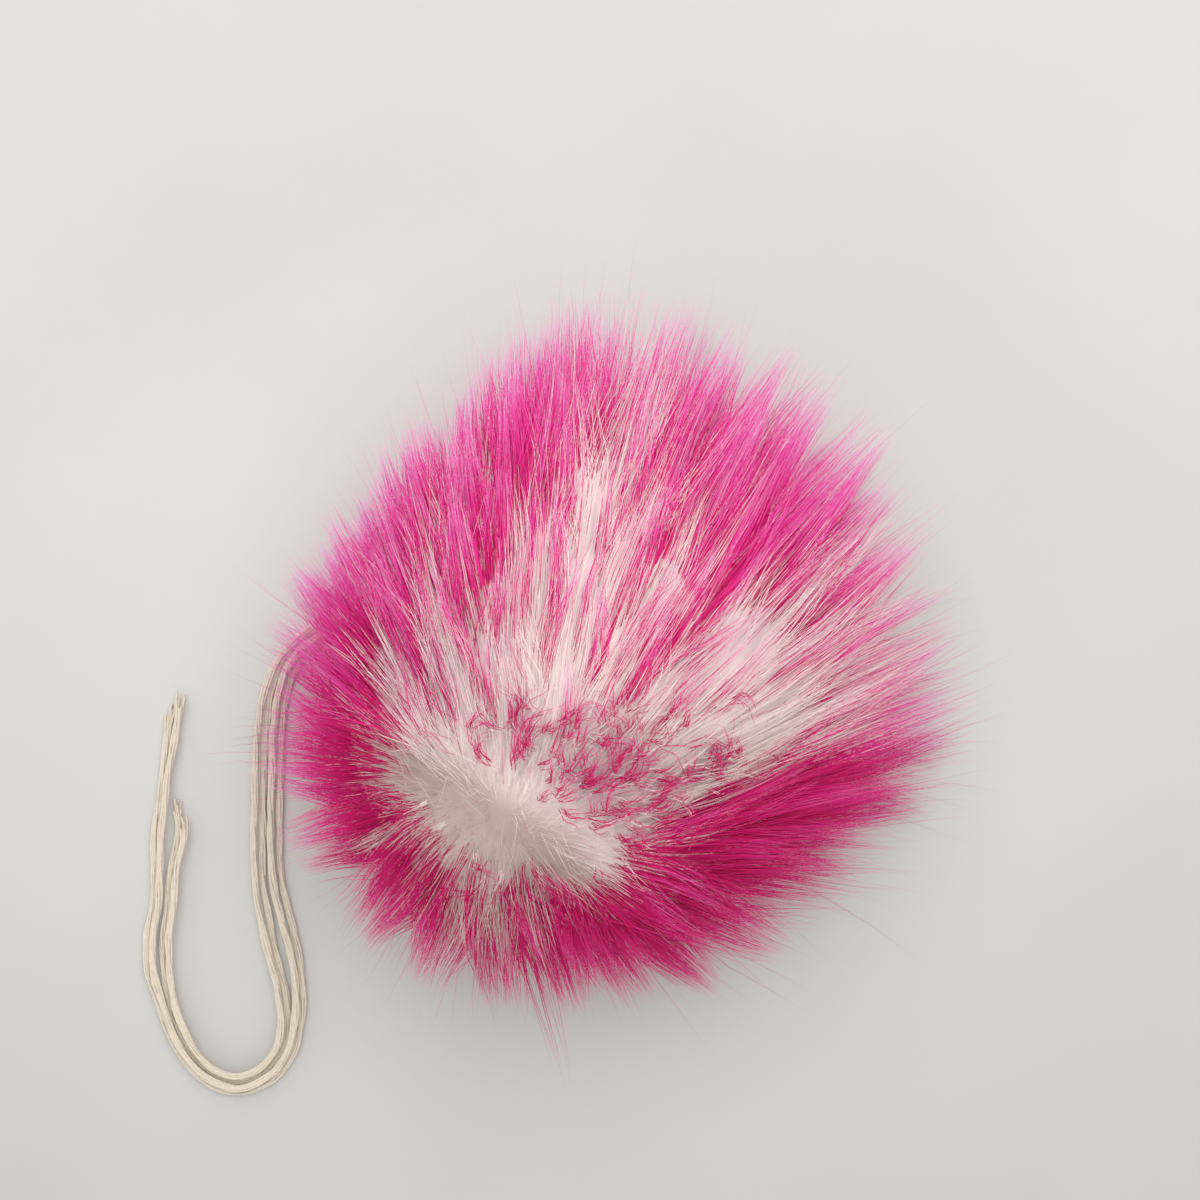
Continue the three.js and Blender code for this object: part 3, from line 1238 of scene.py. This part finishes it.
    def gathered(
        self, paths: Array, steps: Array, guides: Array, index: Array, share: Array, pull: Array
    ) -> Array:
        """Hairs drawn together towards their guides, more and more to the tip.

        Args:
            paths: Hair centre lines.
            steps: Share of the hair at each point.
            guides: Guide centre lines.
            index: The guide of each hair.
            share: Each hair's length against its guide's.
            pull: How far each hair is drawn to its guide.

        Returns:
            The new centre lines.
        """
        target = self.along_guide(guides, index, steps * share[:, None])
        tight = smooth(steps, self.gather_from, 1.0)
        return paths + (target - paths) * (pull[:, None] * tight)[..., None]

    def scattered(self, count: int, jitter: float) -> tuple[Array, Array]:
        """Roots spread evenly but not in rows.

        Args:
            count: Places on the whole ball.
            jitter: Unevenness against the spacing.

        Returns:
            Directions and places of the roots that aren't under the ball.
        """
        spacing = math.sqrt(4.0 * math.pi / count)
        ways = lattice(count, self.pole)
        ways = unit(ways + self.random.normal(0.0, jitter * spacing, ways.shape))
        roots = self.roots(ways)
        kept = roots[:, 2] > self.bare_below + self.ground(roots)
        return ways[kept], roots[kept]

    def tufts(self, locks: Locks) -> Tufts:
        """Tufts inside the locks, each with its own length, dye and wave.

        Args:
            locks: The locks that they are drawn to.

        Returns:
            The tufts.
        """
        ways, roots = self.scattered(self.tuft_count, self.tuft_jitter)
        count = len(ways)
        lock = nearest(ways, locks.ways)
        lengths = self.lengths(roots, ways) * self.random.uniform(*self.tuft_lengths, count)
        headings = unit(self.headings(roots) + self.random.normal(0.0, self.tuft_fan, roots.shape))
        headings = self.leaned(headings, roots)
        long = self.traced(roots, headings, lengths * self.wisp_length, self.guide_rows)[:, -1, :2]
        tips = np.array(self.wisps)[:, None]
        wisp = np.argmin(np.linalg.norm(long - tips, axis=-1), axis=1)
        lengths[wisp] *= self.wisp_length
        paths = self.traced(roots, headings, lengths, self.guide_rows)
        steps = np.broadcast_to(np.linspace(0.0, 1.0, self.guide_rows + 1), paths.shape[:2])
        pull = self.random.uniform(*self.tuft_pull, count)
        pull[wisp] = 0.0
        pull = pull * (1.0 - self.at_parting(roots))
        paths = self.gathered(paths, steps, locks.paths, lock, np.ones(count), pull)
        late = self.random.normal(0.0, self.tuft_late, count)
        pale = self.random.random(count) < self.pale_tufts
        late = np.where(pale, late + self.pale_tuft_late, late)
        phase = self.random.uniform(0.0, FULL_TURN, count)
        return Tufts(ways, paths, lengths, late, phase)

    def mass_share(self, ways: Array) -> Array:
        """Share of the pile that the close mass of hair fills: least at the parting.

        Args:
            ways: Root directions.

        Returns:
            The share at each.
        """
        swept = smooth(ways @ unit(np.array(self.sweep_to)), *self.mass_sweep)
        parted = 1.0 - self.parting_depth * self.at_parting(self.roots(ways))
        return (self.mass_short + (self.mass_high - self.mass_short) * swept) * parted

    def at_parting(self, roots: Array) -> Array:
        """How near roots are to the parting, from 0 to 1."""
        near = 1.0 - smooth(self.band_gap(roots), 0.0, self.parting_wide)
        return near * (roots[:, 2] > self.middle[2])

    def on_line(self, roots: Array) -> Array:
        """How near roots are to the very line of the parting, from 0 to 1."""
        return self.at_parting(roots) * (1.0 - smooth(self.band_gap(roots), 0.0, self.parting_line))

    def leaned(self, headings: Array, roots: Array) -> Array:
        """Directions that lean away from the parting.

        Args:
            headings: Directions in which hairs leave the cloth.
            roots: Where they leave it.

        Returns:
            The new directions.
        """
        away = np.zeros_like(roots)
        away[:, :2] = unit(self.off_band(roots))
        lean = self.parting_lean * self.at_parting(roots) * (1.0 - self.on_line(roots))
        return unit(headings + lean[:, None] * away)

    def crownness(self, roots: Array, ways: Array) -> Array:
        """How far the hair ends curl over at each root, from 0 to 1.

        Args:
            roots: Where the hairs leave the cloth.
            ways: Root directions.

        Returns:
            The share at each.
        """
        cut = self.curl
        lengths = cut.along * self.lengths(roots, ways)
        ends = self.traced(roots, self.headings(roots), lengths, cut.along_rows)[:, -1]
        off = (ends[:, :2] - np.array(cut.middle)) / np.array(cut.reach)
        return np.exp(-((off**2).sum(axis=1) ** 2)) * smooth(ends[:, 2], *cut.heights)

    def off_band(self, places: Array) -> Array:
        """Way to places from the nearest place on the pale band, seen from above.

        Args:
            places: Places, in any number of rows.

        Returns:
            Rows of two.
        """
        first, last = (np.array(point) for point in self.pale_band)
        line = last - first
        part = np.clip((places[..., :2] - first) @ line / (line @ line), 0.0, 1.0)
        return places[..., :2] - (first + part[..., None] * line)

    def band_gap(self, places: Array) -> Array:
        """Distance of places from the pale band, seen from above."""
        return np.linalg.norm(self.off_band(places), axis=-1)

    def beyond(self, places: Array) -> Array:
        """Which places lie beyond the parting, where the long pile is combed to."""
        off = places[:, :2] - np.array(self.parting_middle)
        return off @ np.array(self.parting_across) > 0.0

    def side_turn(self, ways: Array) -> Array:
        """Turn of root directions from +X in degrees, about a place in front of the middle."""
        return np.degrees(np.arctan2(ways[:, 1] + self.side_shift, ways[:, 0]))

    def dye_edge(self, places: Array) -> tuple[Array, Array]:
        """Least distance of the dye from the pale band, and how much more, seen from above.

        Args:
            places: Places on the surface.

        Returns:
            The two distances at each.
        """
        away = places[..., :2] - np.array(self.pale_band).mean(axis=0)
        turns = [edge.turn for edge in self.dye_edges]
        start = by_turn(away, turns, [edge.start for edge in self.dye_edges])
        return start, by_turn(away, turns, [edge.spread for edge in self.dye_edges])

    def dye_start(self, paths: Array, late: Array) -> Array:
        """Where the dye starts on each hair, by its distance from the pale band.

        Args:
            paths: Centre lines of the drawn parts.
            late: How late each hair's dye starts, 0 for the earliest on its side.

        Returns:
            The share of the drawn part, over 1 where the hair stays white.
        """
        fine = np.linspace(0.0, 1.0, self.dye_steps)
        shares = np.broadcast_to(fine, (len(paths), len(fine)))
        places = self.along_guide(paths, np.arange(len(paths)), shares)[..., :2]
        start, spread = self.dye_edge(places)
        over = self.band_gap(places) - start - spread * late[:, None]
        dyed = over >= 0.0
        after = np.maximum(np.argmax(dyed, axis=1), 1)
        row = np.arange(len(paths))
        high, low = over[row, after], over[row, after - 1]
        found = fine[after] - (fine[1] * high / np.maximum(high - low, 1e-9))
        found = np.where(dyed[:, 0], 0.0, found)
        return np.where(dyed.any(axis=1), found, self.undyed)

    def waved(self, paths: Array, ways: Array, size: Array, turns: Array, phase: Array) -> Array:
        """Hairs with a wave that grows towards the tip.

        Args:
            paths: Hair centre lines.
            ways: Root directions.
            size: Largest sideways shift of each hair.
            turns: Waves along each hair.
            phase: Start of each wave, in radians.

        Returns:
            The waved centre lines, kept above what they lie on.
        """
        steps = np.linspace(0.0, 1.0, paths.shape[1])
        ahead = unit(np.gradient(paths, axis=1))
        side = unit(np.cross(ahead, ways[:, None, :] + np.array(self.wave_side)))
        up = np.cross(side, ahead)
        angle = FULL_TURN * turns[:, None] * steps[None, :] + phase[:, None]
        grown = size[:, None] * smooth(steps, self.wave_from, 1.0)[None, :]
        shifted = paths + side * (grown * np.sin(angle))[..., None]
        rise = self.wave_rise * grown * np.cos(self.wave_pace * angle + self.wave_shift)
        shifted = shifted + up * rise[..., None]
        shifted[..., 2] = np.maximum(shifted[..., 2], self.least_height)
        return shifted

    def lateness(self, ways: Array, combed: Array) -> Array:
        """How late the dye starts: later at a streak's sides, so that its colour starts in a point.

        Args:
            ways: Root directions.
            combed: Direction in which each hair is combed.

        Returns:
            The lateness of each, 0 for the earliest.
        """
        streaks = lattice(self.streak_count, self.pole)
        streak = nearest(ways, streaks)
        side = unit(np.cross(combed, ways))
        spacing = math.sqrt(4.0 * math.pi / self.streak_count)
        across = ((ways - streaks[streak]) * side).sum(axis=1) / spacing
        pale = uneven(streak, 4) < self.pale_streaks
        held = self.pale_least + self.pale_more * uneven(streak, 5)
        late = np.where(pale, held, self.streak_spread * uneven(streak, 6) ** 2)
        return late + self.lock_point * (across / self.streak_half) ** 2

    def zoned(self, ways: Array, paths: Array) -> dict[FurZone, Array]:
        """Which hairs lie in each zone.

        Args:
            ways: Root directions.
            paths: Hair centre lines.

        Returns:
            For each zone, which hairs.
        """
        half = paths[:, paths.shape[1] // 2]
        beyond = self.beyond(half)
        far = beyond & (self.band_gap(paths[:, 0]) < self.parting_far)
        near = ~beyond & (self.band_gap(half) < self.parting_near)
        found = {FurZone.PARTING_FAR: far, FurZone.PARTING_NEAR: near}
        turn = self.side_turn(ways)
        order = [zone for zone in FurZone if zone.turn is not None]
        for zone, after in zip(order, order[1:] + order[:1]):
            inside = (turn - zone.turn) % 360.0 < (after.turn - zone.turn) % 360.0
            found[zone] = inside & ~far & ~near
        return found

    def guard_hairs(self, tufts: Tufts) -> dict[FurZone, Strands]:
        """Long two-tone hairs, gathered into tufts and locks.

        Args:
            tufts: The tufts.

        Returns:
            The hairs of each zone.
        """
        cut, chance = self.guard, self.random
        ways, roots = self.scattered(cut.count, cut.jitter)
        count = len(ways)
        owner = nearest(ways, tufts.ways)
        combed = self.headings(roots)
        late = self.lateness(ways, combed) + tufts.late[owner]
        late = late + chance.normal(0.0, cut.late_spread, count)
        early = chance.random(count) < cut.early_share
        late = late - np.where(early, chance.uniform(*cut.early_by, count), 0.0)
        stray = chance.random(count) < cut.stray_share
        fan = np.where(stray, cut.stray_fan, cut.fan)[:, None]
        fan = fan + self.parting_splay * self.on_line(roots)[:, None]
        headings = unit(combed + fan * chance.normal(0.0, 1.0, roots.shape))
        headings = self.leaned(headings, roots)
        share, pull = (
            np.where(stray, chance.uniform(*strays, count), chance.uniform(*others, count))
            for strays, others in ((cut.stray_lengths, cut.lengths), (cut.stray_pull, cut.pull))
        )
        share = share * (1.0 - self.curl.flop * self.crownness(roots, ways))
        lengths = tufts.lengths[owner] * share
        filled = self.mass_share(ways) * self.lengths(roots, ways) / lengths
        begin = np.clip(filled - cut.sunk, 0.0, cut.latest_begin)
        paths, steps = self.drawn(roots, headings, lengths, begin, cut.rows)
        paths = self.gathered(paths, steps, tufts.paths, owner, share, pull)
        size = chance.uniform(*cut.wave_sizes, count) * np.where(stray, cut.stray_wave, 1.0)
        turns = chance.uniform(*cut.wave_turns, count)
        phase = tufts.phase[owner] + chance.normal(0.0, cut.wave_spread, count)
        paths = self.trimmed(self.waved(paths, ways, size, turns, phase))
        start = self.dye_start(paths, late)
        inside = self.band_gap(paths[:, -1]) < self.dye_edge(paths[:, -1])[0]
        tipped = inside & (chance.random(count) < cut.dyed_tips)
        kind = self.kind_of(np.where(tipped, chance.uniform(*cut.tip_dye, count), start))
        steps = np.linspace(0.0, 1.0, cut.rows + 1)
        root = cut.root_girth + (1.0 - cut.root_girth) * smooth(steps, 0.0, cut.taper_from)
        taper = tapered(steps, cut.tip_girth, cut.taper_from) * root
        thick = cut.girth * np.where(stray, cut.stray_girth, chance.uniform(*cut.girths, count))
        thick = thick * np.where(start > cut.stays_white, cut.white_girth, 1.0)
        girth = thick[:, None] * taper[None, :]
        zones = self.zoned(ways, paths)
        short = np.where(start >= 1.0, cut.white_length, 1.0)[:, None, None]
        paths = paths[:, :1] + short * (paths - paths[:, :1])
        return {zone: Strands(paths[here], girth[here], kind[here]) for zone, here in zones.items()}

    def trimmed(self, paths: Array) -> Array:
        """Shortens the few hairs that stand out too far to the right.

        Args:
            paths: Hair centre lines.

        Returns:
            The lines, none of them past the reach.
        """
        first = paths[:, :1]
        over = (paths[:, -1, 0] - first[:, 0, 0]) / (self.reach - first[:, 0, 0])
        return first + (paths - first) / np.maximum(over, 1.0)[:, None, None]

    def kind_of(self, start: Array) -> Array:
        """Place across the fibre's map for a dye that starts at the given share.

        Args:
            start: Share of each hair.

        Returns:
            The place for each, inside the map.
        """
        finish = FurFinish()
        span = finish.latest_start - finish.earliest_start
        return np.clip((finish.latest_start - start) / span, *self.kind_limits)

    def curls(self) -> Strands:
        """Small dyed hooks where hair ends fold over on top of the ball.

        Returns:
            Their hairs.
        """
        cut, chance = self.curl, self.random
        ways, roots = self.scattered(cut.places, cut.jitter)
        inside = chance.random(len(ways)) < self.crownness(roots, ways) ** 0.5
        ways, roots = ways[inside], roots[inside]
        whole = self.traced(roots, self.headings(roots), self.lengths(roots, ways), self.trace_rows)
        share = self.mass_share(ways) + cut.seat
        seat = self.along_guide(whole, np.arange(len(ways)), share[:, None])[:, 0]
        start, spread = self.dye_edge(seat)
        gap = self.band_gap(seat)
        clear = (gap > cut.clear) & (gap < start + cut.inside * spread)
        seat, roots = seat[clear], roots[clear]
        count, each = len(seat), cut.hairs
        up = np.repeat(unit(seat - self.middle), each, axis=0)
        flow = self.headings(roots)
        flow = np.arctan2(flow[:, 1], flow[:, 0]) + chance.normal(0.0, cut.turn_spread, count)
        bend = chance.uniform(*cut.bends, count)
        bend = bend * np.where(chance.random(count) < cut.clockwise, -1.0, 1.0)
        reach = chance.uniform(*cut.lengths, count)
        total = count * each
        begin = np.repeat(flow, each) + chance.normal(0.0, cut.hair_fan, total)
        bend = np.repeat(bend, each) * chance.uniform(*cut.hair_bends, total)
        reach = np.repeat(reach, each) * chance.uniform(*cut.hair_lengths, total)
        steps = np.linspace(0.0, 1.0, cut.rows + 1)
        angle = begin[:, None] + bend[:, None] * steps[None, :] ** cut.bend_power
        crimp = np.repeat(chance.uniform(0.0, FULL_TURN, count), each)[:, None]
        angle = angle + cut.crimp * np.sin(FULL_TURN * cut.crimp_turns * steps[None, :] + crimp)
        east = unit(np.cross(np.array([0.0, 1.0, 0.0]), up))
        north = np.cross(up, east)
        ahead = np.cos(angle)[..., None] * east[:, None] + np.sin(angle)[..., None] * north[:, None]
        moved = np.cumsum(ahead * (reach / cut.rows)[:, None, None], axis=1)
        moved = moved - moved[:, :1]
        lift = cut.sunk + cut.rise * smooth(steps, 0.0, cut.risen_at)
        lift = lift - cut.fall * smooth(steps, cut.falls_from, 1.0)
        lift = lift[None, :] * chance.uniform(*cut.hair_lifts, total)[:, None]
        lift = lift - (moved**2).sum(axis=-1) / cut.bow
        start = np.repeat(seat, each, axis=0) + chance.normal(0.0, cut.hair_scatter, (total, 3))
        paths = start[:, None] + moved + lift[..., None] * up[:, None]
        taper = tapered(steps, cut.tip_girth, cut.falls_from)
        girth = cut.girth * chance.uniform(*cut.hair_girths, total)[:, None] * taper
        return Strands(paths, girth, self.kind_of(chance.uniform(*cut.dye, total)))

    def blurred(self, ways: Array, centres: Array, values: Array, block: int = 2000) -> Array:
        """Values at centre directions, blended over the directions between them.

        Args:
            ways: Directions that get a value.
            centres: Directions that have one.
            values: Their values.
            block: Directions worked out at once.

        Returns:
            The blended values.
        """
        mixed = np.empty(len(ways))
        for start in range(0, len(ways), block):
            part = slice(start, start + block)
            close = ways[part] @ centres.T
            weight = np.exp((close - close.max(axis=1, keepdims=True)) / (0.5 * self.mass_blur**2))
            mixed[part] = (weight @ values) / weight.sum(axis=1)
        return mixed

    def mass(self, tufts: Tufts, finish: Material) -> Piece:
        """The close mass of hair under the single ones, as a closed surface.

        Args:
            tufts: The tufts whose dye it shares.
            finish: The mass's material.

        Returns:
            The piece, with what its material reads.
        """
        angle = np.linspace(0.0, math.pi, self.mass_rows + 2)[1:-1]
        turn = np.linspace(0.0, FULL_TURN, self.mass_sides, endpoint=False)
        first = unit(np.cross(self.pole, np.array([1.0, 0.0, 0.0])))
        second = np.cross(self.pole, first)
        around = np.cos(turn)[:, None] * first + np.sin(turn)[:, None] * second
        down, out = np.cos(angle)[:, None, None], np.sin(angle)[:, None, None]
        ring = down * self.pole + out * around[None]
        ways = np.concatenate([self.pole[None], ring.reshape(-1, 3), -self.pole[None]])
        roots, count = self.roots(ways), len(ways)
        bumps = np.zeros(count)
        spread = math.sqrt(len(self.mass_waves) * self.mass_waves_each)
        for pitch in np.repeat(self.mass_waves, self.mass_waves_each):
            wave = unit(self.random.normal(0.0, 1.0, 3))
            bumps += np.sin(pitch * (ways @ wave) + self.random.uniform(0.0, RANDOM_TURN)) / spread
        share = self.mass_share(ways) * (1.0 + self.mass_lumps * bumps)
        combed = self.leaned(self.headings(roots), roots)
        whole = self.traced(roots, combed, self.lengths(roots, ways), self.trace_rows)
        spots = self.along_guide(whole, np.arange(count), share[:, None])[:, 0]
        spots[:, 2] = np.maximum(spots[:, 2], self.ground(spots) + self.least_height)
        faces = closed_rings(self.mass_sides, self.mass_rows)
        piece = plain_piece("fur_mass", spots, faces, finish)
        PileLight().dress(piece.data)
        off = np.abs((self.side_turn(ways) - self.deep_dye_and_shade_middle + 180.0) % 360.0 - 180.0)
        tuft_late = self.lateness(tufts.ways, self.headings(tufts.paths[:, 0])) + tufts.late
        late = self.mass_late + self.blurred(ways, tufts.ways, tuft_late)
        late = late * smooth(spots[:, 2], *self.mass_flanks)
        flow = unit(combed[:, :2])
        away = np.linalg.norm(spots[:, :2] - np.array(self.parting_middle), axis=1)
        wide = np.where(self.beyond(spots), self.parting_far, self.parting_near)
        carried = {
            "dye_start": self.dye_start(whole, late),
            "hair_share": share,
            "deep_dye_and_shade": 1.0 - smooth(off, *self.deep_dye_and_shade_edge),
            # Painted shade: share of the parting colour in the mass, most on the parting line.
            "parted": 1.0 - smooth(self.band_gap(spots) / wide, 0.0, 1.0),
        }
        for name, values in carried.items():
            stored = piece.data.attributes.new(name, "FLOAT", "POINT")
            stored.data.foreach_set("value", values.astype(np.float32))
        stored = piece.data.attributes.new("comb", "FLOAT_VECTOR", "POINT")
        stored.data.foreach_set("vector", np.column_stack([flow, away]).astype(np.float32).ravel())
        return piece

    def cloth(self, finish: Material) -> Piece:
        """The gathered cloth under the pile, as a closed ball with a flat spot.

        Args:
            finish: The cloth's material.

        Returns:
            The piece.
        """
        start = math.asin(self.flat_spot / self.radius)
        angle = np.linspace(start, math.pi, self.cloth_rows, endpoint=False)
        turn = np.linspace(0.0, FULL_TURN, self.cloth_sides, endpoint=False)
        folded = (1.0 - smooth(angle, start, self.pleat_until))[:, None]
        pleat = 1.0 - self.pleat_depth * np.cos(self.pleats * turn)[None, :] * folded
        wide = self.radius * self.cloth_inside * np.sin(angle)[:, None] * pleat
        high = self.middle[2] - self.squash * self.radius * self.cloth_inside * np.cos(angle)
        high = np.maximum(high - high[0], 0.0) + self.cloth_lift
        level = np.broadcast_to(high[:, None], wide.shape)
        ring = np.stack([wide * np.cos(turn), wide * np.sin(turn), level], axis=-1)
        ends = np.array([[0.0, 0.0, self.cloth_lift], [0.0, 0.0, high[-1] + self.cloth_peak]])
        points = np.concatenate([ends[:1], ring.reshape(-1, 3), ends[1:]])
        inward = closed_rings(self.cloth_sides, self.cloth_rows)
        faces = [(face[0], *face[:0:-1]) for face in inward]
        return plain_piece("fur_cloth", points, faces, finish)

    def build(self, sweep: StrandSweep, furs: dict[Tone, FurFinish], cloth: Material) -> None:
        """Makes the cloth, the close mass of hair and the single hairs.

        Args:
            sweep: Sweep for the hairs.
            furs: The pile's finish in each tone.
            cloth: The cloth's material.
        """
        locks = self.locks()
        tufts = self.tufts(locks)
        made = [self.cloth(cloth), self.mass(tufts, furs[Tone.BRIGHT].mass(furs[Tone.DEEP_AND_SHADED]))]
        hairs = {tone: fur.hair() for tone, fur in furs.items()}
        for zone, strands in self.guard_hairs(tufts).items():
            made.append(sweep.piece("guard_hair_" + zone.label, strands, hairs[zone.tone]))
        made.append(sweep.piece("crown_curls", self.curls(), hairs[Tone.CURLED]))
        for piece in made:
            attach(piece, BODY)
            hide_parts(FUR_NODE)
            LOG.info("%s: %d triangles", piece.name, triangles(piece))


@dataclass
class Studio:
    """Pale surface, soft light from the top of the picture, and the camera straight above."""

    camera_at: Place = (0.0076, 0.0241, 0.480)
    lens: float = 65.25
    clip: Range = (0.01, 20.0)
    floor_size: float = 3.0
    ambient: Colour = (1.0, 0.985, 0.965, 1.0)
    ambient_strength: float = 0.92
    key_at: Place = (0.11, 0.66, 1.0)
    key_size: float = 1.6
    key_power: float = 8.8

    def build(self) -> None:
        """Makes the surface, the lights and the camera."""
        self._floor()
        self._light()
        world = bpy.data.worlds.new("soft_room")
        world.use_nodes = True
        sky = world.node_tree.nodes["Background"]
        sky.inputs["Color"].default_value = self.ambient
        sky.inputs["Strength"].default_value = self.ambient_strength
        scene = bpy.context.scene
        scene.world = world
        scene.view_settings.view_transform = "Standard"
        camera = bpy.data.cameras.new("camera")
        camera.lens = self.lens
        camera.clip_start, camera.clip_end = self.clip
        scene.camera = placed("camera", camera)
        scene.camera.location = self.camera_at

    def _light(self) -> None:
        """Adds one soft lamp that looks at the pom-pom."""
        lamp = bpy.data.lights.new("key_light", "AREA")
        lamp.shape, lamp.size, lamp.energy = "DISK", self.key_size, self.key_power
        holder = placed("key_light", lamp)
        holder.location = self.key_at
        holder.rotation_mode = "QUATERNION"
        holder.rotation_quaternion = (-Vector(self.key_at)).to_track_quat("-Z", "Y")

    def _floor(self) -> None:
        """Adds the pale surface."""
        half = self.floor_size / 2.0
        corners = half * np.array([(-1, -1, 0), (1, -1, 0), (1, 1, 0), (-1, 1, 0)], float)
        floor = plain_piece("floor", corners, [(0, 1, 2, 3)], PaperFinish().material())


def main() -> None:
    """Builds the scene in order."""
    logging.basicConfig(level=logging.INFO, format="%(message)s")
    Studio().build()
    yarn = FibreFinish("undyed_yarn", (0.77, 0.70, 0.58, 1.0), (0.70, 0.63, 0.52, 1.0), 900.0)
    cloth = FibreFinish("fur_backing", (0.86, 0.80, 0.79, 1.0), (0.78, 0.70, 0.69, 1.0), 700.0)
    tie = Tie()
    tie.build(StrandSweep(sides=4, strip=0.1), yarn.material())
    ball = FurBall(tie)
    sweep = StrandSweep(pile_light=PileLight())
    # Deep dye: the real crimson of the curls, and partly painted shade where the front tones face
    # away from the light.
    deep_dye_and_shade = (
        (0.0, (0.52, 0.003, 0.09, 1.0)),
        (0.50, (0.68, 0.006, 0.15, 1.0)),
        (0.82, (0.84, 0.03, 0.27, 1.0)),
        (1.0, (0.95, 0.30, 0.58, 1.0)),
    )
    white = (0.98, 0.80, 0.79, 1.0)
    # Painted shade on the white and root of the front tones, which face away from the light.
    painted_shade = {"root": (0.66, 0.51, 0.48, 1.0), "white": (0.80, 0.64, 0.61, 1.0)}
    # Deeper painted shade on the white and root of the hairs on the near side of the parting, which
    # lies in shade.
    deeper_painted_shade = {"root": (0.54, 0.42, 0.40, 1.0), "white": (0.73, 0.58, 0.555, 1.0)}
    furs = {
        Tone.BRIGHT: FurFinish(),
        Tone.DEEP_AND_SHADED: FurFinish("deep_shaded_two_tone_fur", dye=deep_dye_and_shade, **painted_shade),
        Tone.CURLED: FurFinish("curled_fur", root=white, dye=deep_dye_and_shade),
        Tone.PARTED: FurFinish("parted_fur", root=(0.93, 0.74, 0.73, 1.0), white=white),
        Tone.SHADED: FurFinish("shaded_fur", dye=deep_dye_and_shade, **deeper_painted_shade),
    }
    ball.build(sweep, furs, cloth.material())


if __name__ == "__main__":
    main()
